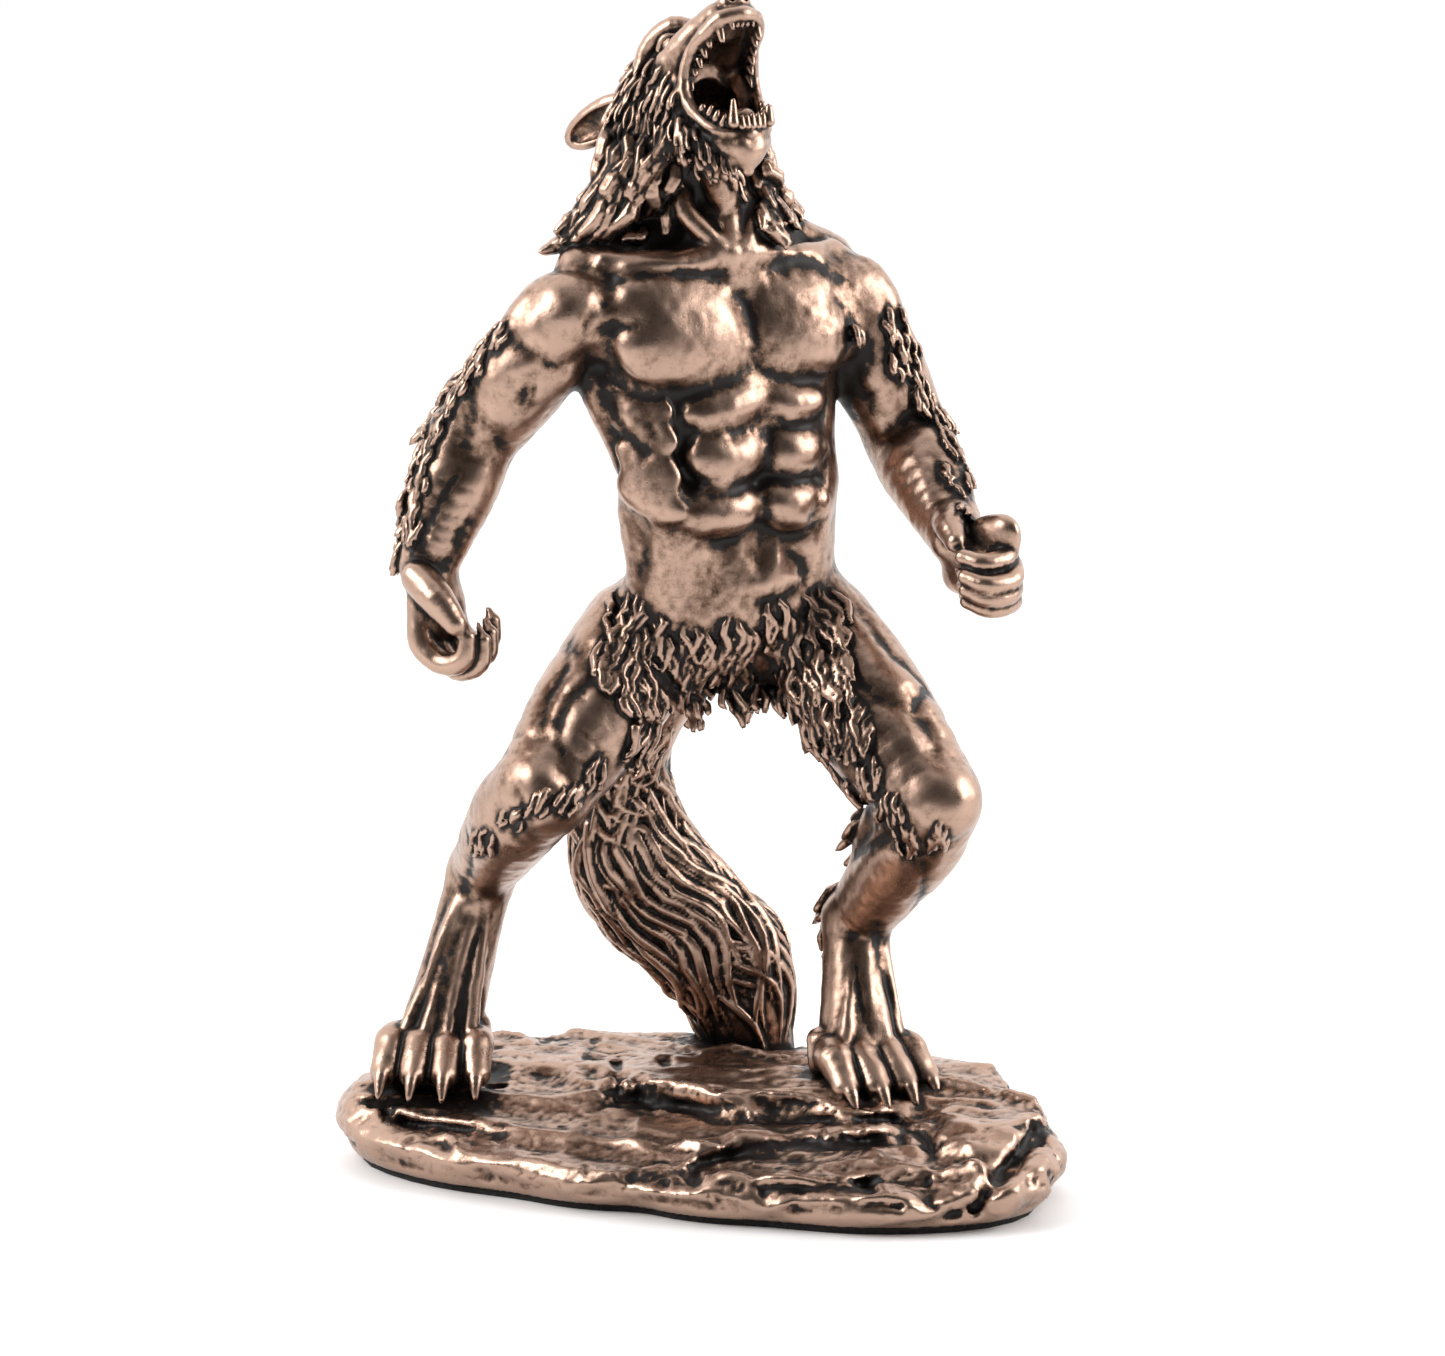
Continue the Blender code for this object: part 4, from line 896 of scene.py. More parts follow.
class Pelt:
    """The bare body, on which lines are cut and locks of fur are laid along a flow."""

    JOINTS = 6
    PROFILE = vec(0.5, 0.95, 1.05, 0.95, 0.68, 0.14)
    RISE = vec(-0.35, 0.1, 0.3, 0.35, 0.35, 0.4)

    def __init__(self, mesh):
        spots = [vert.co for vert in mesh.vertices]
        faces = [tuple(face.vertices) for face in mesh.polygons]
        self.tree = BVHTree.FromPolygons(spots, faces)
        self.runs, self.sizes = [], []

    def skin(self, spot):
        place, normal, _, _ = self.tree.find_nearest(Vector(spot))
        return np.array(place), np.array(normal)

    def seen(self, across, up):
        """The spot of the skin that shows through the pane there."""
        way = unit(AIM + vec(across, 0, 0) + PANE_UP * up - EYE)
        place, normal, _, _ = self.tree.ray_cast(Vector(EYE + way * 800), Vector(way))
        if place is None:
            place, normal, _, _ = self.tree.find_nearest(Vector(EYE + way * 1000))
        return np.array(place), np.array(normal)

    def drawn(self, line):
        """A smooth line on the skin through places on the pane."""
        run = flowing([(*place, 0) for place in line], 4)
        return np.array([self.seen(across, up)[0] for across, up, _ in run])

    def lay(self, root, flow, length, thick, wave=0.0, turns=1.2, phase=0.0, lift=0.25, sink=0.3):
        """A lock from the skin nearest to root, along flow, waving from side to side."""
        place, normal = self.skin(root)
        step = length / (self.JOINTS - 1)
        run = []
        for joint in range(self.JOINTS):
            share = joint / (self.JOINTS - 1)
            if joint:
                way = unit(flow)
                way = way - normal * min(way @ normal, 0.0) * (1 - lift)
                side = unit(np.cross(normal, way))
                swing = wave * math.cos(share * turns * 6.28 + phase)
                way = unit(way + side * swing + normal * lift * share * 0.6)
                ahead = place + way * step
                skin, normal = self.skin(ahead)
                depth = (ahead - skin) @ normal
                place = ahead if depth > sink * thick else skin + normal * sink * thick
            run.append(place + normal * thick * self.RISE[joint])
        self.runs.append(run)
        self.sizes.append(thick * self.PROFILE)

    def coat(self, draw, guides, spacing, reach, length, thick, wave, lift):
        """Fills the skin round guide hairs with locks that follow them."""
        guides = np.array(guides, float)
        roots, ways = guides[:, :2], guides[:, 2:] - guides[:, :2]
        ways /= np.linalg.norm(ways, axis=1)[:, None]
        low, high = roots.min(0) - reach, roots.max(0) + reach
        rows = int((high[1] - low[1]) / (spacing * 0.87)) + 1
        columns = int((high[0] - low[0]) / spacing) + 1
        for row in range(rows):
            for column in range(columns):
                seed = low + vec((column + 0.5 * (row % 2)) * spacing, row * spacing * 0.87)
                seed = seed + draw.uniform(-0.35, 0.35, 2) * spacing
                sizes = draw.uniform(length[0], length[1]), draw.uniform(thick[0], thick[1])
                swing, phase = draw.uniform(0.4, 1.0) * wave, draw.uniform(0, 6.28)
                apart = np.linalg.norm(roots - seed, axis=1)
                if apart.min() > reach:
                    continue
                way = ((ways / (apart[:, None] ** 3 + 0.5)).sum(0))
                way = way / np.linalg.norm(way)
                root, _ = self.seen(*seed)
                tip, _ = self.seen(*(seed + way * 2.0))
                flow = tip - root
                if np.linalg.norm(flow) > 6:
                    flow = vec(way[0], 0, 0) + PANE_UP * way[1]
                self.lay(root, flow, *sizes, wave=swing, phase=phase, lift=lift)

    def rope(self, points, thick):
        """A lock along given points, off the skin."""
        self.runs.append([np.asarray(point, float) for point in points])
        self.sizes.append(thick * self.PROFILE)

    def onto(self, clay, stains, blend, grooves, depth, finer=1):
        """Puts the locks on the clay and dark stains among them, each run bent smoothly through finer steps.
        """
        locks = [flowing(np.column_stack([run, sizes]), finer) for run, sizes in zip(self.runs, self.sizes)]
        locks = np.array(locks)
        clay.put(Locks(locks[..., :3], locks[..., 3], grooves, depth), blend)
        stains.put(Locks(locks[..., :3], locks[..., 3] * 0.45, 0, 0.0), 0.2)
        self.runs, self.sizes = [], []


class Locks:
    """Tapered locks side by side, with grooves along them."""

    def __init__(self, joints, radii, grooves=5, depth=0.1):
        self.joints, self.radii = joints, radii
        self.centres = (joints.min(1) + joints.max(1)) / 2
        self.reaches = np.linalg.norm(joints - self.centres[:, None], axis=2).max(1) + radii.max(1)
        along = joints[:, -1] - joints[:, 0]
        along /= np.linalg.norm(along, axis=1)[:, None]
        self.across = np.cross(along, np.roll(along, 1, axis=1) + 0.3)
        self.across /= np.linalg.norm(self.across, axis=1)[:, None]
        self.through = np.cross(along, self.across)
        self.grooves, self.depth = grooves, depth
        self.lows = (joints - radii[..., None]).min(1) - 1.5
        self.highs = (joints + radii[..., None]).max(1) + 1.5
        low, high = self.lows.min(0), self.highs.max(0)
        self.centre, self.half = (low + high) / 2, (high - low) / 2

    def distance(self, points):
        low, high = points.min(0), points.max(0)
        near = np.flatnonzero(((self.lows < high) & (self.highs > low)).all(1))
        if not len(near):
            return np.full(len(points), FAR)
        pieces, middle = self.joints.shape[1] - 1, (low + high) / 2
        start = self.joints[near, :-1].reshape(-1, 3) - middle
        run = np.diff(self.joints[near], axis=1).reshape(-1, 3)
        gap, share = nearest_run(
            points - middle, start, run, self.radii[near, :-1].ravel(), self.radii[near, 1:].ravel()
        )
        best, rows = gap.argmin(1), np.arange(len(points))
        off = points - middle - start[best] - share[rows, best][:, None] * run[best]
        owner = near[best // pieces]
        turn = np.arctan2((off * self.across[owner]).sum(1), (off * self.through[owner]).sum(1))
        girth = np.linalg.norm(off, axis=1)
        depth = self.depth * np.clip(girth, 0, 1.2)
        return gap[rows, best] + depth * (0.5 + 0.5 * np.cos(turn * self.grooves + owner * 2.4))

    def blank(self, block):
        for joints, radii in zip(self.joints, self.radii):
            for start, end, thick, thin in zip(joints[:-1], joints[1:], radii[:-1], radii[1:]):
                run = Vector(end - start)
                turn = run.to_track_quat("Z", "X").to_matrix().to_4x4()
                place = Matrix.Translation(Vector((start + end) / 2)) @ turn
                bmesh.ops.create_cone(
                    block, cap_ends=True, segments=5, radius1=thick, radius2=thin, depth=run.length * 1.1,
                    matrix=place,
                )


def mane(pelt, draw):
    """Long locks from behind the jaws over the nape, down on to the shoulders."""
    top, middle, low = HEAD.at(0, -7, -3), CHEST.at(-1, -5, 34), CHEST.at(0, -13, 19)
    spine = flowing([top, middle, low], 4)
    down = vec(0, 0, -1)
    rows = 10
    for row in range(rows):
        share = row / (rows - 1)
        spot = spine[int(round(share * (len(spine) - 1)))]
        for place in range(22):
            turn = math.radians(-140 + 280 * (place + 0.5 * (row % 2)) / 21.5)
            out = CHEST.way(math.sin(turn) * 1.15, -math.cos(turn), 0)
            root = spot + out * 14 + vec(0, 0, 2.0 * draw.standard_normal())
            flow = down * (1.0 - 0.2 * share) + out * (0.25 + 0.1 * share)
            length = (17 - 4.0 * abs(turn)) * draw.uniform(0.75, 1.1)
            thick, swing, phase = draw.uniform(1.2, 2.0), draw.uniform(0.3, 0.8), draw.uniform(0, 6.28)
            skin, normal = pelt.skin(root)
            if normal @ unit(EYE - skin) < 0.25:
                pelt.lay(root, flow, length, thick, wave=swing, phase=phase, lift=0.12)
    guides = hairs(
        662, 151, 648, 180,  633, 145, 616, 172,  656, 180, 627, 204,  627, 180, 598, 201,
        651, 204, 613, 218,  613, 204, 575, 221,  636, 218, 592, 239,  598, 221, 560, 247,
        610, 160, 598, 185,  773, 175, 787, 198,  770, 192, 784, 215,  790, 198, 799, 215,
    )
    pelt.coat(draw, guides, 2.5, 3.6, (7, 11), (1.0, 1.7), 0.8, 0.2)


MANE_LINES = (
    trail(668, 118, 664, 150, 650, 172, 655, 198, 640, 220),
    trail(652, 122, 645, 152, 632, 178, 634, 202, 614, 226, 606, 242),
    trail(636, 128, 628, 156, 614, 178, 610, 202, 590, 222, 580, 244),
    trail(622, 136, 612, 162, 600, 184, 590, 206, 572, 222, 560, 246),
    trail(612, 146, 600, 168, 592, 190, 578, 208, 564, 224, 558, 238),
    trail(764, 160, 776, 178, 780, 196, 792, 214),
    trail(756, 166, 766, 186, 768, 204, 782, 222),
)


def hanging_locks(pelt, draw):
    """Long locks that hang free from the cheeks to the shoulders, along drawn lines."""
    runs = evenly(MANE_LINES, 13)
    for one, two, shares in zip(
        runs[:-1], runs[1:], ((0, 0.5), (0, 0.5), (0, 0.5), (0, 0.5), (0,), (0, 0.5, 1))
    ):
        for share in shares:
            between = one * (1 - share) + two * share
            near, far = (np.linalg.norm(pelt.seen(*between[end])[0] - EYE) for end in (0, -1))
            for start, end in ((0, 6), (3, 9), (6, 12)):
                start, end = start + draw.integers(-1, 2), end + draw.integers(-1, 2)
                size, phase = draw.uniform(1.1, 1.8), draw.uniform(0, 6.28)
                points = []
                for joint, place in enumerate(np.linspace(max(start, 0), min(end, 12), Pelt.JOINTS)):
                    across, up = (np.interp(place, range(13), between[:, axis]) for axis in (0, 1))
                    way = unit(
                        AIM + vec(across + 0.8 * math.sin(joint * 1.7 + phase), 0, 0) + PANE_UP * up - EYE
                    )
                    depth = near + (far - near) * (place / 12) ** 1.3
                    points.append(EYE + way * (depth + (0.8, -0.4, -1.0, -1.0, -0.8, -0.2)[joint] * size))
                if max(np.linalg.norm(np.diff(points, axis=0), axis=1)) < 6:
                    pelt.rope(points, size)


def face_fur(pelt, draw):
    """Short fur of the cheeks, the brow and the jaw."""
    guides = hairs(
        656, 67, 648, 84,  636, 76, 627, 96,  668, 87, 662, 108,  642, 111, 639, 131,
        621, 116, 616, 137,  665, 125, 665, 145,  685, 128, 688, 145,  697, 145, 704, 162,
        680, 151, 683, 172,  639, 58, 627, 76,  612, 100, 604, 120,  650, 135, 642, 160,
        715, 158, 722, 175,  730, 168, 735, 182,
    )
    pelt.coat(draw, guides, 1.7, 2.8, (4.5, 7.5), (0.5, 0.8), 0.5, 0.3)
    for hand in (RIGHT, LEFT):
        for row in range(7):
            for place in range(9):
                spot = HEAD.at(hand * 14, 4 - 2.3 * place + 0.8 * (row % 2), 4.5 - 2.8 * row)
                size, phase = draw.uniform(4, 7), draw.uniform(0, 6.28)
                if hand == LEFT or place > 5:
                    pelt.lay(
                        spot, HEAD.way(hand * 0.25, -1, -0.55), size, 0.75, wave=0.3, phase=phase, lift=0.3
                    )
    for place in range(30):
        spot = HEAD.at((place % 6 - 2.5) * 2.4, 5 - 3.4 * (place // 6), 14)
        pelt.lay(
            spot, HEAD.way(0, -1, 0.05), draw.uniform(4, 7), 0.75, wave=0.3, phase=draw.uniform(0, 6.28)
        )


TAIL_LINES = (
    trail(575, 840, 570, 885, 592, 920, 632, 948, 668, 982, 688, 1004),
    trail(592, 825, 592, 870, 620, 915, 660, 948, 690, 985, 696, 1028),
    trail(616, 814, 622, 860, 650, 900, 696, 922, 718, 962, 730, 1018),
    trail(634, 797, 645, 842, 678, 878, 718, 906, 745, 940, 752, 996),
    trail(650, 786, 662, 826, 696, 860, 740, 884, 768, 940, 786, 1002),
    trail(668, 770, 684, 808, 718, 842, 758, 876, 790, 920, 803, 962, 806, 1006),
)


def tail_fur(pelt, draw):
    """Long wavy locks down the tail, the front ones along drawn lines."""
    across, ahead = TAIL_ACROSS, vec(0, -1, 0)
    last = len(TAIL) - 1
    for place in range(190):
        turn = draw.uniform(0, 6.28)
        first = draw.uniform(0, last - 3.5)
        span = draw.uniform(3.2, 5.5)
        steps = np.linspace(first, min(first + span, last + 0.4), Pelt.JOINTS)
        sway, phase = draw.uniform(0.1, 0.35), draw.uniform(0, 6.28)
        points = []
        for joint, step in enumerate(steps):
            middle = np.array([np.interp(step, np.arange(last + 1), TAIL[:, axis]) for axis in range(4)])
            swing = turn + sway * math.sin(joint * 1.15 + phase) + 0.10 * step
            girth = middle[3] * (0.93 + 0.07 * math.sin(joint * 0.63))
            points.append(
                middle[:3] + across * math.sin(swing) * girth * TAIL_WIDE + ahead * math.cos(swing) * girth
            )
        pelt.rope(points, draw.uniform(0.8, 1.25))
    runs = evenly(TAIL_LINES, 21)
    for one, two in zip(runs[:-1], runs[1:]):
        for share in (0.0, 0.3, 0.62):
            between = one * (1 - share) + two * share + draw.uniform(-0.25, 0.25, 2)
            for start, end in ((0, 11), (6, 17), (11, 21)):
                start, end = start + draw.integers(-2, 3), end + draw.integers(-2, 1)
                places = np.linspace(max(start, 0), min(end, 20), Pelt.JOINTS)
                size, phase = draw.uniform(0.95, 1.5), draw.uniform(0, 6.28)
                points = []
                for joint, place in enumerate(places):
                    spot = [np.interp(place, range(21), between[:, axis]) for axis in (0, 1)]
                    skin, normal = pelt.seen(spot[0] + 0.7 * math.sin(joint * 1.9 + phase), spot[1])
                    points.append(skin + normal * size * (0.1, 0.5, 0.65, 0.6, 0.5, 0.3)[joint])
                if max(np.linalg.norm(np.diff(points, axis=0), axis=1)) < 9:
                    pelt.rope(points, size)


def loin_fur(pelt, draw):
    """Short fur over the loins and down the inner thighs."""
    guides = hairs(
        628, 605, 622, 635,  650, 632, 655, 665,  690, 645, 690, 680,  735, 632, 733, 665,
        780, 620, 782, 655,  822, 605, 838, 640,  640, 685, 655, 725,  690, 690, 700, 715,
        740, 680, 745, 710,  795, 675, 805, 710,  830, 660, 845, 705,  850, 715, 845, 755,
        655, 735, 632, 765,  612, 650, 603, 690,  820, 710, 830, 745,
    )
    pelt.coat(draw, guides, 1.9, 4.0, (6.5, 10), (0.65, 1.05), 0.9, 0.22)
    # Fur round the root of the tail and under the seat
    for place in range(60):
        spot = PELVIS.at((place % 10 - 4.5) * 3.4, -22, 2 - 3.6 * (place // 10))
        pelt.lay(
            spot, vec(0, 0.1, -1), draw.uniform(6, 9), 1.0, wave=0.4, phase=draw.uniform(0, 6.28), lift=0.4
        )


def limb_fur(pelt, draw):
    """Tufts at the elbows, on the backs of the limbs and at the hocks."""
    guides = hairs(
        500, 325, 487, 350,  482, 352, 470, 378,  450, 385, 440, 410,  430, 425, 422, 452,
        416, 475, 412, 500,  410, 520, 407, 550,  893, 318, 900, 345,  908, 350, 915, 375,
        921, 388, 926, 410,  955, 440, 966, 462,  968, 470, 974, 495,  475, 340, 462, 362,
        462, 375, 450, 398,  440, 402, 430, 428,  424, 452, 416, 478,  414, 500, 410, 525,
        908, 325, 914, 350,  922, 362, 928, 386,  936, 410, 946, 434,  948, 425, 960, 448,
        545, 800, 528, 822,  515, 815, 500, 842,  575, 790, 560, 815,  485, 840, 478, 868,
        600, 765, 590, 790,  640, 765, 650, 790,  890, 800, 893, 825,  905, 830, 912, 855,
        940, 830, 935, 855,  848, 790, 840, 812,  870, 765, 872, 790,
    )
    pelt.coat(draw, guides, 1.8, 2.4, (4.0, 6.4), (0.5, 0.8), 0.6, 0.22)
    for hand in (RIGHT, LEFT):
        out, back = CHEST.way(hand, 0, 0), CHEST.way(0, -1, 0)
        upper, lower = ELBOWS[hand] - SHOULDERS[hand], WRISTS[hand] - ELBOWS[hand]
        thigh, shank = KNEES[hand] - HIPS[hand], HOCKS[hand] - KNEES[hand]
        instep = FEET[hand] - HOCKS[hand]
        ahead = unit(KNEES[hand] - (HIPS[hand] + HOCKS[hand]) / 2)
        bands = (
            (ELBOWS[hand] - lower * 0.15, lower * 1.05, out * 0.8 + back, 12, 40, 4.6, 6.0, 0.75),
            (SHOULDERS[hand] + upper * 0.4, upper * 0.55, out * 0.7 + back, 12, 20, 4.6, 6.0, 0.75),
            (HIPS[hand] + thigh * 0.15, thigh * 0.8, -ahead, 16, 36, 7.5, 8.0, 1.0),
            (KNEES[hand] + shank * 0.1, shank * 0.85, -ahead, 12, 26, 4.5, 7.0, 0.9),
            (HOCKS[hand], instep * 0.6, -ahead, 10, 12, 3.5, 5.5, 0.75),
        )
        for start, run, side, far, count, width, length, thick in bands:
            across = unit(np.cross(run, side))
            for place in range(count):
                share = (place + 0.5) / count
                spot = start + run * share + unit(side) * far
                spot = spot + across * width * draw.uniform(-1, 1)
                sizes = length * draw.uniform(0.8, 1.3), thick * draw.uniform(0.8, 1.2)
                swing, phase = draw.uniform(0.3, 0.8), draw.uniform(0, 6.28)
                pelt.lay(spot, unit(run) + unit(side) * 0.1, *sizes, wave=swing, phase=phase, lift=0.16)


# Cuts and dark streaks: width, depth and reach of the stain, then a line on the pane
CUTS = (
    # Chest
    (1.0, 1.3, 1.1, trail(587, 360, 605, 380, 627, 393, 660, 399, 689, 396, 718, 389, 740, 376, 755, 365)),
    (1.0, 1.2, 1.1, trail(762, 365, 771, 373, 791, 380, 813, 380, 835, 376, 845, 367)),
    (1.0, 1.1, 0.8, trail(757, 369, 758, 349, 755, 331, 751, 313, 742, 296)),
    (1.1, 0.8, 0.7, trail(582, 352, 586, 330, 593, 313, 609, 300)),
    (0.9, 0.8, 0.9, trail(596, 335, 613, 328, 635, 326)),
    (1.1, 0.6, 0.7, trail(616, 281, 645, 275, 689, 275, 718, 277)),
    (0.9, -0.7, 0, trail(602, 271, 653, 263, 704, 265)),
    (1.1, 0.8, 0.8, trail(518, 347, 538, 359, 556, 368, 578, 366)),
    (1.2, 0.8, 1.0, trail(842, 300, 855, 322, 852, 349, 844, 370)),
    (1.4, 0.6, 1.6, trail(773, 263, 800, 259, 827, 268, 842, 280)),
    # Belly
    (1.0, 1.1, 0.9, trail(771, 390, 771, 422, 771, 451, 770, 476, 767, 502, 767, 527, 761, 552)),
    (0.9, 0.9, 0.8, trail(738, 433, 755, 423, 771, 418, 791, 426, 813, 423, 824, 414)),
    (0.9, 1.0, 0.9, trail(698, 491, 722, 495, 747, 487, 769, 476, 791, 481, 816, 476, 826, 463)),
    (0.9, 0.8, 0.9, trail(715, 538, 736, 536, 755, 528, 768, 524, 791, 531, 809, 527, 818, 514)),
    (1.0, 0.7, 0.8, trail(831, 392, 825, 425, 826, 462, 822, 495, 817, 524)),
    (1.0, 0.2, 0, trail(702, 405, 692, 432, 690, 470, 697, 500)),
    (1.0, 1.3, 1.0, trail(761, 552, 760, 566)),
    (1.0, 0.7, 0.8, trail(751, 604, 784, 597, 804, 583, 802, 563, 792, 553)),
    (1.8, 0.6, 1.2, trail(638, 531, 643, 553, 640, 572)),
    (0.8, 0.4, 0.5, trail(624, 433, 645, 451)),
    (0.8, 0.4, 0.5, trail(605, 396, 620, 433)),
    (0.8, 0.4, 0.4, trail(645, 418, 656, 438)),
    # Arms
    (0.6, 0.3, 0.7, trail(526, 378, 522, 412)),
    (0.6, 0.3, 0.5, trail(535, 374, 534, 404)),
    (1.6, 0.9, 2.2, trail(470, 395, 467, 425, 462, 450)),
    (1.2, 0.8, 1.2, trail(478, 425, 495, 437, 504, 450)),
    (1.0, 0.5, 1.2, trail(464, 462, 449, 487, 435, 511, 424, 533, 422, 558)),
    (1.4, 0.5, 1.8, trail(471, 522, 461, 541, 456, 558, 438, 568)),
    (1.8, 0.8, 2.6, trail(852, 318, 862, 346, 856, 380, 872, 411)),
    (1.0, 0.8, 0.9, trail(893, 322, 904, 350, 915, 380, 922, 404)),
    (1.2, 0.8, 1.0, trail(896, 426, 913, 412, 931, 416)),
    (1.0, 0.5, 0.9, trail(936, 452, 941, 487)),
    # Right leg
    (1.1, 0.9, 1.0, trail(620, 615, 611, 645, 589, 679, 567, 702, 558, 735, 566, 769)),
    (1.1, 0.9, 1.0, trail(566, 634, 564, 668, 545, 701, 541, 735)),
    (1.0, 0.6, 0.9, trail(515, 786, 521, 809, 512, 827)),
    (0.9, 0.5, 0.8, trail(465, 832, 470, 862, 463, 890)),
    # Left leg
    (1.2, 1.0, 1.1, trail(829, 641, 854, 673, 876, 696, 910, 707, 932, 730, 938, 752)),
    (1.1, 0.8, 0.8, trail(862, 611, 887, 645, 921, 679, 945, 706)),
    (1.0, 0.5, 0.7, trail(882, 842, 921, 856, 958, 842)),
    (1.0, 0.6, 0.8, trail(921, 859, 924, 893, 915, 910)),
    (1.0, 0.6, 0.8, trail(843, 870, 857, 849, 874, 827)),
    # Insteps
    (0.8, 0.7, 0.7, trail(448, 893, 425, 961, 414, 1017)),
    (0.8, 0.7, 0.7, trail(465, 916, 442, 972, 436, 1023)),
    (0.8, 0.7, 0.7, trail(487, 916, 465, 972, 456, 1028)),
    (0.9, 0.7, 0.7, trail(853, 938, 859, 994, 876, 1051)),
    (0.9, 0.7, 0.7, trail(876, 927, 887, 983, 915, 1045)),
)


def cut_lines(clay, pelt):
    """Cuts the lines between the muscles and returns the clay of their dark stains."""
    stains = Clay()
    for width, depth, stain, line in CUTS:
        run = pelt.drawn(line)
        clay.crease(run, width * 2.6, depth * 0.75)
        clay.crease(run[1:-1], width * 0.9, depth * 0.5)
        if stain:
            ends = np.sin(np.linspace(0.25, 2.9, len(run)))
            stains.put(Limb(run, stain * 0.9 * ends), 0.4)
    return stains


# Meshing: the clay becomes fine meshes


def remeshed(mesh, voxel):
    """The mesh with its pieces made one skin of even cells."""
    carrier = bpy.data.objects.new("carrier", mesh)
    bpy.context.scene.collection.objects.link(carrier)
    cells = carrier.modifiers.new("cells", "REMESH")
    cells.mode = "VOXEL"
    cells.voxel_size = voxel
    graph = bpy.context.evaluated_depsgraph_get()
    made = bpy.data.meshes.new_from_object(carrier.evaluated_get(graph))
    bpy.data.objects.remove(carrier)
    return made


def spots_of(mesh):
    """The places of the vertices, as rows."""
    spots = np.empty(len(mesh.vertices) * 3, np.float32)
    mesh.vertices.foreach_get("co", spots)
    return spots.reshape(-1, 3).astype(float)


def normals_of(mesh):
    """The normals of the vertices, as rows."""
    normals = np.empty(len(mesh.vertices) * 3, np.float32)
    mesh.vertex_normals.foreach_get("vector", normals)
    return normals.reshape(-1, 3).astype(float)


def place_spots(mesh, spots):
    """Moves the vertices to new places."""
    mesh.vertices.foreach_set("co", spots.astype(np.float32).ravel())
    mesh.update()


def settle(mesh, clay, rounds, stride, wear=0.0):
    """Moves each vertex along its normal onto the surface of the clay, with the dents of hand work."""
    spots = spots_of(mesh)
    for _ in range(rounds):
        dents = rough(spots * vec(1, 1, 0.55), 4.6, 21) * 1.6 + rough(spots * vec(1, 1, 0.7), 1.7, 22) * 0.8
        step = np.clip(clay.field(spots) - dents * wear, -stride, stride)
        spots -= normals_of(mesh) * step[:, None]
        place_spots(mesh, spots)


def eased(mesh, rounds, share=0.5):
    """Evens out the spacing of the vertices, along the surface only."""
    start, end, count = edges_of(mesh)
    spots = spots_of(mesh)
    for _ in range(rounds):
        normals = normals_of(mesh)
        slide = (gathered(spots, start, end) / count - spots) * share
        slide -= normals * (slide * normals).sum(1)[:, None]
        spots += slide
        place_spots(mesh, spots)


def edges_of(mesh):
    """Both ends of every edge, in both directions, and how many neighbours each vertex has."""
    ends = np.empty(len(mesh.edges) * 2, np.int32)
    mesh.edges.foreach_get("vertices", ends)
    one, two = ends[::2], ends[1::2]
    start, end = np.concatenate([one, two]), np.concatenate([two, one])
    count = np.bincount(start, minlength=len(mesh.vertices)).astype(float)
    count = np.maximum(count, 1)
    return start, end, count[:, None]


def gathered(values, start, end):
    """For each vertex, the sum of the values at its neighbours."""
    columns = [
        np.bincount(start, values[end, axis], minlength=len(values)) for axis in range(values.shape[1])
    ]
    return np.stack(columns, 1)


def modelled(clay, voxel):
    """A rough mesh of the clay, joined from its blanks and settled on its surface."""
    mesh = remeshed(clay.blank(), voxel)
    settle(mesh, clay, 3, voxel)
    mesh = remeshed(mesh, voxel)
    settle(mesh, clay, 2, voxel)
    return mesh


def parted(mesh, planes):
    """The part of the mesh in front of every plane, closed with a flat face on each."""
    block = bmesh.new()
    block.from_mesh(mesh)
    for spot, way in planes:
        cut = bmesh.ops.bisect_plane(
            block, geom=block.verts[:] + block.edges[:] + block.faces[:], dist=1e-5,
            plane_co=Vector(spot), plane_no=Vector(way), clear_inner=True, clear_outer=False,
        )
        rim = [item for item in cut["geom_cut"] if isinstance(item, bmesh.types.BMEdge)]
        caps = bmesh.ops.holes_fill(block, edges=rim, sides=0)["faces"]
        bmesh.ops.triangulate(block, faces=caps)
    made = bpy.data.meshes.new("part")
    block.to_mesh(made)
    block.free()
    return made


def main_body(mesh, least=0.9):
    """The mesh without the bodies smaller than a share of its largest."""
    start, end, _ = edges_of(mesh)
    owner = np.arange(len(mesh.vertices))
    while True:
        lower = owner.copy()
        np.minimum.at(lower, start, owner[end])
        lower = lower[lower]
        if (lower == owner).all():
            break
        owner = lower
    sizes = np.bincount(owner)
    crumbs = np.flatnonzero(sizes[owner] < sizes.max() * least)
    if not len(crumbs):
        return mesh
    block = bmesh.new()
    block.from_mesh(mesh)
    block.verts.ensure_lookup_table()
    bmesh.ops.delete(block, geom=[block.verts[index] for index in crumbs], context="VERTS")
    block.to_mesh(mesh)
    block.free()
    return mesh


def refined(sketch, clay, voxel, planes=(), wear=0.0):
    """A finely meshed part of the clay, grown from its rough sketch."""
    near = [(np.asarray(spot) - unit(way) * 4.0, way) for spot, way in planes]
    mesh = parted(sketch, near) if planes else sketch
    mesh = remeshed(mesh, voxel * 1.6)
    settle(mesh, clay, 2, voxel * 1.6)
    mesh = remeshed(mesh, voxel)
    settle(mesh, clay, 2, voxel * 1.2, wear)
    eased(mesh, 2)
    settle(mesh, clay, 1, voxel, wear)
    return mesh


# Colour fields: what lies deep, how hidden it is for painted shade, and what is rubbed, kept on the vertices
# for the finish


def smoothed(values, start, end, count, rounds):
    """The values drawn towards those of their neighbours, round after round."""
    for _ in range(rounds):
        values = values * 0.3 + gathered(values, start, end) / count * 0.7
    return values


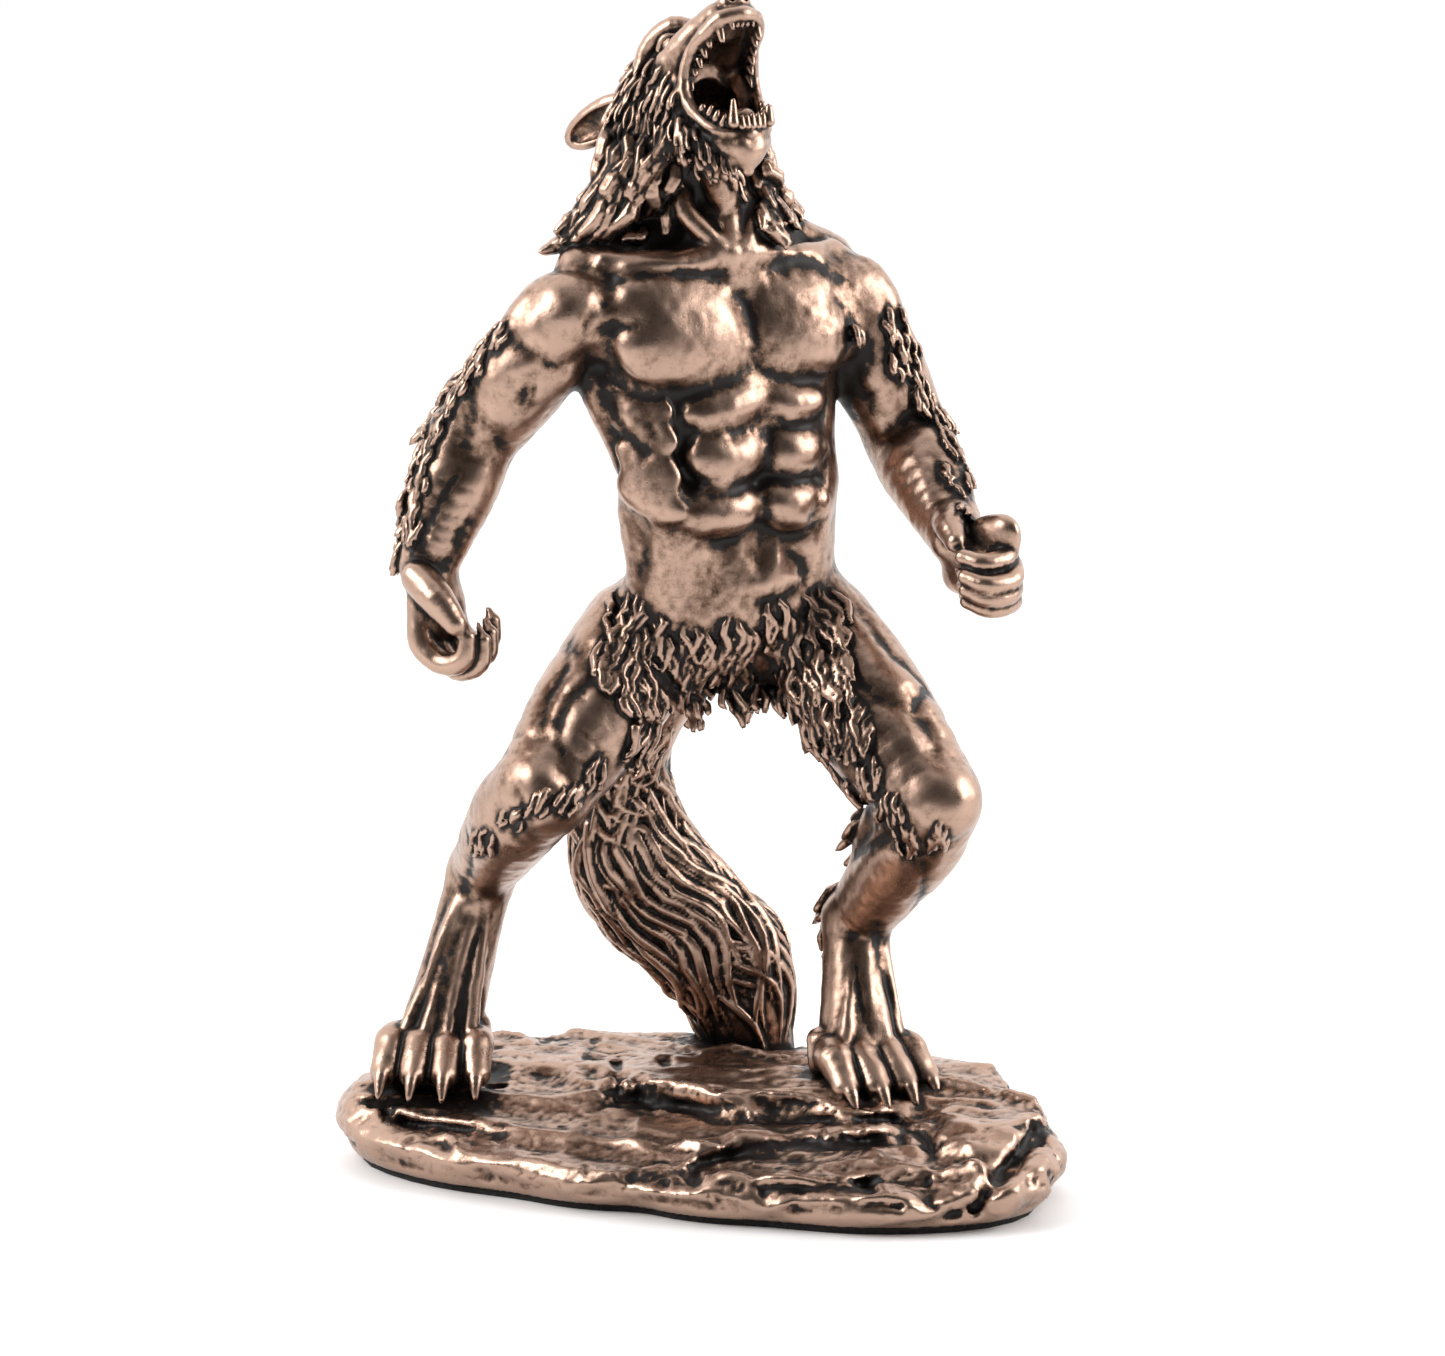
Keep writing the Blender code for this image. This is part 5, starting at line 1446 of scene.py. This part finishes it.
def painted(mesh, clay, stains, shade_gain=1.0):
    """Writes how hidden, how sharp, how full and how stained the surface is at each vertex."""
    spots, normals = spots_of(mesh), normals_of(mesh)
    start, end, count = edges_of(mesh)
    near = smoothed(spots, start, end, count, 3)
    far = smoothed(near, start, end, count, 26)
    crest = ((spots - near) * normals).sum(1)
    swell = ((near - far) * normals).sum(1)
    # How hidden each vertex is from open air, counting every piece near it; the finish darkens this as
    # painted shade
    shade = np.zeros(len(spots))
    for reach, weight in ((1.3, 0.5), (4.6, 0.5)):
        open_air = clay.field(spots + normals * reach) / reach
        shade += weight * np.clip(1 - open_air, 0, 1)
    shade = smoothed(shade[:, None], start, end, count, 1)[:, 0] * shade_gain
    stain = np.zeros(len(spots))
    if stains.steps:
        ragged = 1.1 * rough(spots, 3.4, 31) + 0.7 * rough(spots, 1.3, 32)
        stain = np.clip(1 - (stains.field(spots) + ragged + 0.4) / 2.2, 0, 1) ** 1.6
    for name, values in (("crest", crest), ("swell", swell), ("shade", shade), ("stain", stain)):
        mesh.attributes.new(name, "FLOAT", "POINT").data.foreach_set("value", values.astype(np.float32))
    facing = mesh.attributes.new("facing", "FLOAT_VECTOR", "POINT")
    facing.data.foreach_set("vector", normals.astype(np.float32).ravel())


def finished(mesh, name, material, node, scale=SHARE, lift=FELT_THICKNESS + GLUE_GAP):
    """Turns a mesh in shares into a piece in metres, shaded by the normals kept on it."""
    spots = (spots_of(mesh) - vec(MIDDLE_X, MIDDLE_Y, 0)) * scale + vec(0, 0, lift)
    place_spots(mesh, spots)
    kept = mesh.attributes.get("facing")
    mesh.shade_smooth()
    if kept:
        facing = np.empty(len(mesh.vertices) * 3, np.float32)
        kept.data.foreach_get("vector", facing)
        mesh.attributes.remove(kept)
        facing = facing.reshape(-1, 3)
        facing /= np.maximum(np.linalg.norm(facing, axis=1), 1e-6)[:, None]
        mesh.normals_split_custom_set_from_vertices(facing)
    mesh.materials.clear()
    mesh.materials.append(material)
    mesh.name = name
    piece = bpy.data.objects.new(name, mesh)
    bpy.context.scene.collection.objects.link(piece)
    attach(piece, "root")
    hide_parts(node)
    return piece


# Materials


class Sock:
    """A node socket that can be used in plain arithmetic."""

    def __init__(self, tree, socket):
        self.tree, self.socket = tree, socket

    def maths(self, operation, *values, clamp=False):
        return self.tree.node("ShaderNodeMath", {"operation": operation, "use_clamp": clamp}, *values)

    def __add__(self, other):
        return self.maths("ADD", self, other)

    def __sub__(self, other):
        return self.maths("SUBTRACT", self, other)

    def __mul__(self, other):
        return self.maths("MULTIPLY", self, other)

    def __truediv__(self, other):
        return self.maths("DIVIDE", self, other)

    def __pow__(self, other):
        return self.maths("POWER", self, other)

    def __radd__(self, other):
        return self.maths("ADD", other, self)

    def __rsub__(self, other):
        return self.maths("SUBTRACT", other, self)

    def __rmul__(self, other):
        return self.maths("MULTIPLY", other, self)

    def between(self, low, high):
        """0 at low, 1 at high, and smooth in between."""
        node = self.tree.node(
            "ShaderNodeMapRange", {"interpolation_type": "SMOOTHSTEP"}, self, low, high, 0.0, 1.0
        )
        return node


class Finish:
    """A material under construction."""

    def __init__(self, name):
        self.material = bpy.data.materials.new(name)
        self.material.use_nodes = True
        self.nodes = self.material.node_tree.nodes
        self.links = self.material.node_tree.links
        self.skin = self.nodes["Principled BSDF"]

    def wire(self, socket, value):
        if isinstance(value, Sock):
            self.links.new(value.socket, socket)
        elif value is not None:
            socket.default_value = value

    def node(self, kind, settings, *values, out=0, **named):
        made = self.nodes.new(kind)
        for key, value in settings.items():
            if key == "stops":
                ramp = made.color_ramp
                while len(ramp.elements) < len(value):
                    ramp.elements.new(0.5)
                for element, (place, colour) in zip(ramp.elements, value):
                    element.position, element.color = place, (*colour, 1.0)
            else:
                setattr(made, key, value)
        for socket, value in zip(made.inputs, values):
            self.wire(socket, value)
        for key, value in named.items():
            self.wire(made.inputs[key.replace("_", " ")], value)
        return Sock(self, made.outputs[out])

    def attribute(self, name):
        return self.node("ShaderNodeAttribute", {"attribute_name": name}, out="Fac")

    def place(self):
        return self.node("ShaderNodeTexCoord", {}, out="Object")

    def noise(self, scale, detail=3.0, roughness=0.5, vector=None):
        return self.node(
            "ShaderNodeTexNoise", {}, Vector=vector or self.place(), Scale=scale, Detail=detail,
            Roughness=roughness,
        )

    def mixed(self, factor, first, second, blend="MIX"):
        made = self.nodes.new("ShaderNodeMix")
        made.data_type, made.blend_type = "RGBA", blend
        self.wire(made.inputs[0], factor)
        self.wire(made.inputs[6], first)
        self.wire(made.inputs[7], second)
        return Sock(self, made.outputs[2])

    def set(self, **sockets):
        for key, value in sockets.items():
            self.wire(self.skin.inputs[key.replace("_", " ")], value)


def bronze(settings):
    """Black patina and painted shade in the hollows with ragged edges, warm rubbed metal on what stands out.
    """
    make = Finish("cold_cast_bronze")
    crest, swell, shade, stain = (make.attribute(name) for name in ("crest", "swell", "shade", "stain"))
    mottle = make.noise(75, 5, 0.62)
    ragged = make.noise(520, 6, 0.72)
    grain = make.noise(2200, 3, 0.6)
    # Dark mask of patina and painted shade: how hidden the surface is paints shade, the stains and noise add
    # patina, rubbed ridges and full forms lighten it
    patina_and_shade = shade * 1.3 + stain * 0.55 - crest * settings.rub_fine - swell * settings.rub_broad
    patina_and_shade = patina_and_shade + (mottle - 0.5) * 0.9 + (ragged - 0.5) * 1.5 + 0.06
    dark = patina_and_shade.between(0.42, 0.78)
    dusk = patina_and_shade.between(-0.15, 0.6)
    tone = make.mixed(dusk, (*settings.bronze_bright, 1), (*settings.bronze_mid, 1))
    tone = make.mixed(dark, tone, (*settings.bronze_dark, 1))
    gloss = 0.3 + (mottle - 0.5) * 0.12 + (ragged - 0.5) * 0.2 + dark * 0.12
    height = ragged * 0.7 + grain * 0.35 - dark * 0.5
    bump = make.node("ShaderNodeBump", {}, Strength=0.6, Distance=0.00014, Height=height)
    make.set(
        Base_Color=tone, Metallic=1.0 - dark * 0.75, Roughness=gloss, Normal=bump, Specular_IOR_Level=0.25
    )
    return make.material


def felt(settings):
    """Black felt with pale loose fibres."""
    make = Finish("black_felt")
    fuzz = make.noise(1600, 4, 0.7)
    clump = make.noise(260, 3, 0.6)
    tone = make.mixed(
        (fuzz * 0.7 + clump * 0.3).between(0.3, 0.75), (*settings.felt_dark, 1), (*settings.felt_light, 1)
    )
    bump = make.node("ShaderNodeBump", {}, Strength=0.8, Distance=0.0003, Height=fuzz + clump)
    make.set(Base_Color=tone, Roughness=0.95, Normal=bump)
    return make.material


# Settings, operators and the panel


def number(name, text, value, **more):
    """A plain setting."""
    return bpy.props.FloatProperty(name=name, description=text, default=value, precision=5, **more)


def length(name, text, value):
    """A setting in metres."""
    return number(name, text, value, unit="LENGTH")


def angle(name, text, value):
    """A setting in radians, shown in degrees."""
    return number(name, text, value, subtype="ANGLE")


def colour(name, text, value):
    """A colour setting."""
    return bpy.props.FloatVectorProperty(name=name, description=text, default=value, subtype="COLOR")


class FigurineSettings(bpy.types.PropertyGroup):
    """Sizes and colours of the figurine."""

    body_voxel: length("Body cell", "Cell size of the body's mesh", 0.00052)
    head_voxel: length("Head cell", "Cell size of the head's mesh", 0.00033)
    rock_voxel: length("Rock cell", "Cell size of the rock's mesh", 0.00065)
    # Gain of the painted shade on the rock, in its hollows and round the figure's feet
    rock_grime: number("Painted_shade", "How much darker the hollows of the rock are", 1.35)
    wear: length("Unevenness", "Depth of the dents of hand work", 0.00012)
    # The patina colour, also laid on as painted shade where the surface is most hidden
    bronze_dark: colour("Patina", "Colour of the hollows", (0.011, 0.008, 0.007))
    bronze_mid: colour("Bronze", "Colour of the plain metal", (0.13, 0.078, 0.053))
    bronze_bright: colour("Rubbed bronze", "Colour of rubbed metal", (0.41, 0.275, 0.21))
    rub_fine: number("Fine rub", "How much small ridges are rubbed", 5.0)
    rub_broad: number("Broad rub", "How much full forms are rubbed", 0.5)
    felt_dark: colour("Felt", "Colour of the felt", (0.006, 0.006, 0.006))
    felt_light: colour("Felt fibres", "Colour of loose felt fibres", (0.03, 0.028, 0.026))


class StudioSettings(bpy.types.PropertyGroup):
    """Light, floor and camera."""

    tent_glow: number("Tent", "Brightness of the cloth", 1.6)
    opening_glow: number("Opening", "Brightness where the lens looks in", 0.06)
    opening_height: angle("Opening height", "Angle of the opening above the table", math.radians(6))
    floor_colour: colour("Floor", "Colour of the floor", (0.93, 0.93, 0.93))
    camera_distance: length("Camera distance", "From the camera to what it looks at", 1.0)
    camera_height: angle("Camera elevation", "Angle above the table", math.radians(10))
    camera_lens: number("Lens", "Focal length in millimetres", 129.05)


# Soft lamps: name, place, side and power
SOFTBOXES = (("key", (-0.75, -0.25, 0.6), 0.55, 7), ("fill", (0.8, -0.1, 0.45), 0.55, 5))
# Where the camera looks, and what the lamps are turned to
CAMERA_TARGET = Vector((0.0054, -0.0096, 0.1010))
LAMP_TARGET = Vector((0, 0, 0.1))
# How squarely a way must face the lens to see the tent begin to darken, and the opening in full
OPENING_EDGES = (-0.35, 0.9)


# The least share of a piece's largest body that stays in it: both feet with the tail, and the ends of
# locks that hang across the cut of the throat. In the other pieces only the largest stays.
LEAST_SHARES = {"werewolf_feet": 0.2, "werewolf_head": 0.0008, "werewolf_body": 0.0008}


def figure_parts():
    """The closed pieces of the figure and the planes that part them, each a spot and a way to keep."""
    throat, up = HEAD.at(0, -10, -21.5), HEAD.way(0, 0.846, 0.533)
    waist, sky = PELVIS.at(0, 0, 6), vec(0, 0, 1)
    right, left = (vec(-33, 0, 130), unit((-0.99, 0, 0.137))), (vec(33, 0, 130), unit((0.99, 0, 0.137)))
    knee, calf = vec(0, 0, 86), vec(0, 0, 64)
    return (
        ("werewolf_head", True, [(throat, up)]),
        ("werewolf_body", False, [(throat, -up), (waist, sky), (right[0], -right[1]), (left[0], -left[1])]),
        ("werewolf_right_arm", False, [right, (knee, sky)]),
        ("werewolf_left_arm", False, [left, (vec(0, 0, 108), sky)]),
        ("werewolf_thighs", False, [(waist, -sky), (calf, sky)]),
        ("werewolf_feet", False, [(calf, -sky)]),
    )


def bare_figure():
    """The figure without its head and its hair."""
    clay = Clay()
    torso(clay)
    neck(clay)
    arms(clay)
    legs(clay)
    tail(clay)
    hands(clay)
    return clay


def figure_clay():
    """The whole figure, its dark stains and the rough mesh it grows from."""
    draw = np.random.default_rng(7)
    clay = bare_figure()
    skull(clay)
    pelt = Pelt(modelled(clay, COARSE_VOXEL))
    stains = cut_lines(clay, pelt)
    mane(pelt, draw)
    hanging_locks(pelt, draw)
    pelt.onto(clay, stains, 0.35, 5, 0.16)
    tail_fur(pelt, draw)
    pelt.onto(clay, stains, 0.35, 5, 0.16, finer=2)
    loin_fur(pelt, draw)
    pelt.onto(clay, stains, 0.3, 4, 0.12)
    limb_fur(pelt, draw)
    face_fur(pelt, draw)
    pelt.onto(clay, stains, 0.3, 3, 0.08)
    face(clay)
    return clay, stains


def whole_clay(clay):
    """The figure and its rock, for how hidden each spot is, which the finish paints as shade."""
    return Clay(clay.steps + [(rock(), 1.2, "add", 0.0)])


class WEREWOLF_OT_figure(bpy.types.Operator):
    """Models the werewolf in closed pieces: head, body, arms, thighs, and feet with the tail"""

    bl_idname = "werewolf.figure"
    bl_label = "Werewolf"

    def execute(self, context):
        settings = context.scene.figurine
        clay, stains = figure_clay()
        everything = whole_clay(clay)
        sketch = modelled(clay, COARSE_VOXEL)
        metal = bronze(settings)
        for name, fine, planes in figure_parts():
            voxel = (settings.head_voxel if fine else settings.body_voxel) / SHARE
            mesh = refined(sketch, clay, voxel, planes, settings.wear / SHARE)
            # Painted shade counts the rock too, so the feet darken where they meet it
            painted(mesh, everything, stains)
            mesh = main_body(parted(mesh, planes), LEAST_SHARES.get(name, 0.9))
            finished(mesh, name, metal, "werewolf_on_rock")
        return {"FINISHED"}


class WEREWOLF_OT_rock(bpy.types.Operator):
    """Models the boulder under the figure"""

    bl_idname = "werewolf.rock"
    bl_label = "Boulder"

    def execute(self, context):
        settings = context.scene.figurine
        clay = Clay([(rock(), 1.2, "add", 0.0)])
        mesh = main_body(refined(modelled(clay, 2.0), clay, settings.rock_voxel / SHARE))
        # The rock's painted shade counts the figure too, so it darkens round the figure's feet
        painted(mesh, whole_clay(bare_figure()), Clay(), settings.rock_grime)
        metal = bpy.data.objects["werewolf_body"].active_material
        finished(mesh, "boulder", metal, "werewolf_on_rock")
        return {"FINISHED"}


class WEREWOLF_OT_felt(bpy.types.Operator):
    """Gives the felt pad its finish"""

    bl_idname = "werewolf.felt"
    bl_label = "Felt pad"

    def execute(self, context):
        pad = bpy.data.objects["felt_pad"]
        pad.data.materials.clear()
        pad.data.materials.append(felt(context.scene.figurine))
        return {"FINISHED"}


class WEREWOLF_OT_stage(bpy.types.Operator):
    """Sets the floor, the soft light and the camera"""

    bl_idname = "werewolf.stage"
    bl_label = "Stage"

    def execute(self, context):
        studio = context.scene.studio
        block = bmesh.new()
        bmesh.ops.create_grid(block, x_segments=1, y_segments=1, size=6)
        mesh = bpy.data.meshes.new("floor")
        block.to_mesh(mesh)
        block.free()
        floor = bpy.data.objects.new("floor", mesh)
        context.scene.collection.objects.link(floor)
        plain = Finish("floor")
        plain.set(Base_Color=(*studio.floor_colour, 1), Roughness=0.6)
        mesh.materials.append(plain.material)
        floor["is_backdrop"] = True
        context.scene.world = tent(studio)
        context.scene.view_settings.view_transform = "Standard"
        for lamp in SOFTBOXES:
            softbox(*lamp)
        height = studio.camera_height
        away = Vector((0, -math.cos(height), math.sin(height))) * studio.camera_distance
        lens = bpy.data.cameras.new("camera")
        lens.lens = studio.camera_lens
        lens.sensor_width = 36
        lens.clip_start = 0.01
        camera = bpy.data.objects.new("camera", lens)
        camera.location = CAMERA_TARGET + away
        camera.rotation_euler = (-away).to_track_quat("-Z", "Y").to_euler()
        context.scene.collection.objects.link(camera)
        context.scene.camera = camera
        return {"FINISHED"}


def tent(studio):
    """A white tent of cloth all round, with a dark opening where the lens looks in."""
    world = bpy.data.worlds.new("tent")
    world.use_nodes = True
    nodes, links = world.node_tree.nodes, world.node_tree.links
    cloth = nodes["Background"]
    cloth.inputs["Color"].default_value = (1.0, 1.0, 1.0, 1.0)
    look = nodes.new("ShaderNodeTexCoord")
    towards = nodes.new("ShaderNodeVectorMath")
    towards.operation = "DOT_PRODUCT"
    towards.inputs[1].default_value = (0, -math.cos(studio.opening_height), math.sin(studio.opening_height))
    glow = nodes.new("ShaderNodeMapRange")
    glow.interpolation_type = "SMOOTHSTEP"
    for socket, value in zip(glow.inputs[1:5], (*OPENING_EDGES, studio.tent_glow, studio.opening_glow)):
        socket.default_value = value
    links.new(look.outputs["Generated"], towards.inputs[0])
    links.new(towards.outputs["Value"], glow.inputs[0])
    links.new(glow.outputs[0], cloth.inputs["Strength"])
    return world


def softbox(name, place, size, power):
    """A square soft lamp turned to the figure."""
    lamp = bpy.data.lights.new(name, "AREA")
    lamp.shape = "SQUARE"
    lamp.size = size
    lamp.energy = power
    light = bpy.data.objects.new(name, lamp)
    light.location = place
    light.rotation_euler = (LAMP_TARGET - Vector(place)).to_track_quat("-Z", "Y").to_euler()
    bpy.context.scene.collection.objects.link(light)


class WEREWOLF_PT_panel(bpy.types.Panel):
    """Lists the settings and the steps"""

    bl_idname = "WEREWOLF_PT_panel"
    bl_label = "Werewolf"
    bl_space_type = "VIEW_3D"
    bl_region_type = "UI"
    bl_category = "Werewolf"

    def draw(self, context):
        for group in (context.scene.figurine, context.scene.studio):
            for name in group.__annotations__:
                self.layout.prop(group, name)
        for step in STEPS:
            self.layout.operator(step.bl_idname)


STEPS = (WEREWOLF_OT_figure, WEREWOLF_OT_rock, WEREWOLF_OT_felt, WEREWOLF_OT_stage)
CLASSES = (FigurineSettings, StudioSettings, *STEPS, WEREWOLF_PT_panel)


def register():
    for part in CLASSES:
        bpy.utils.register_class(part)
    bpy.types.Scene.figurine = bpy.props.PointerProperty(type=FigurineSettings)
    bpy.types.Scene.studio = bpy.props.PointerProperty(type=StudioSettings)


def unregister():
    del bpy.types.Scene.figurine
    del bpy.types.Scene.studio
    for part in reversed(CLASSES):
        bpy.utils.unregister_class(part)


def plain(box):
    """A box as plain lists of numbers."""
    return [[float(number) for number in corner] for corner in box]


def main():
    """Builds everything in order."""
    register()
    cad_box = plain(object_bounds())
    bpy.ops.werewolf.figure()
    bpy.ops.werewolf.rock()
    bpy.ops.werewolf.felt()
    bpy.ops.werewolf.stage()
    {"cad": cad_box, "visual": plain(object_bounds())}


if __name__ == "__main__":
    main()
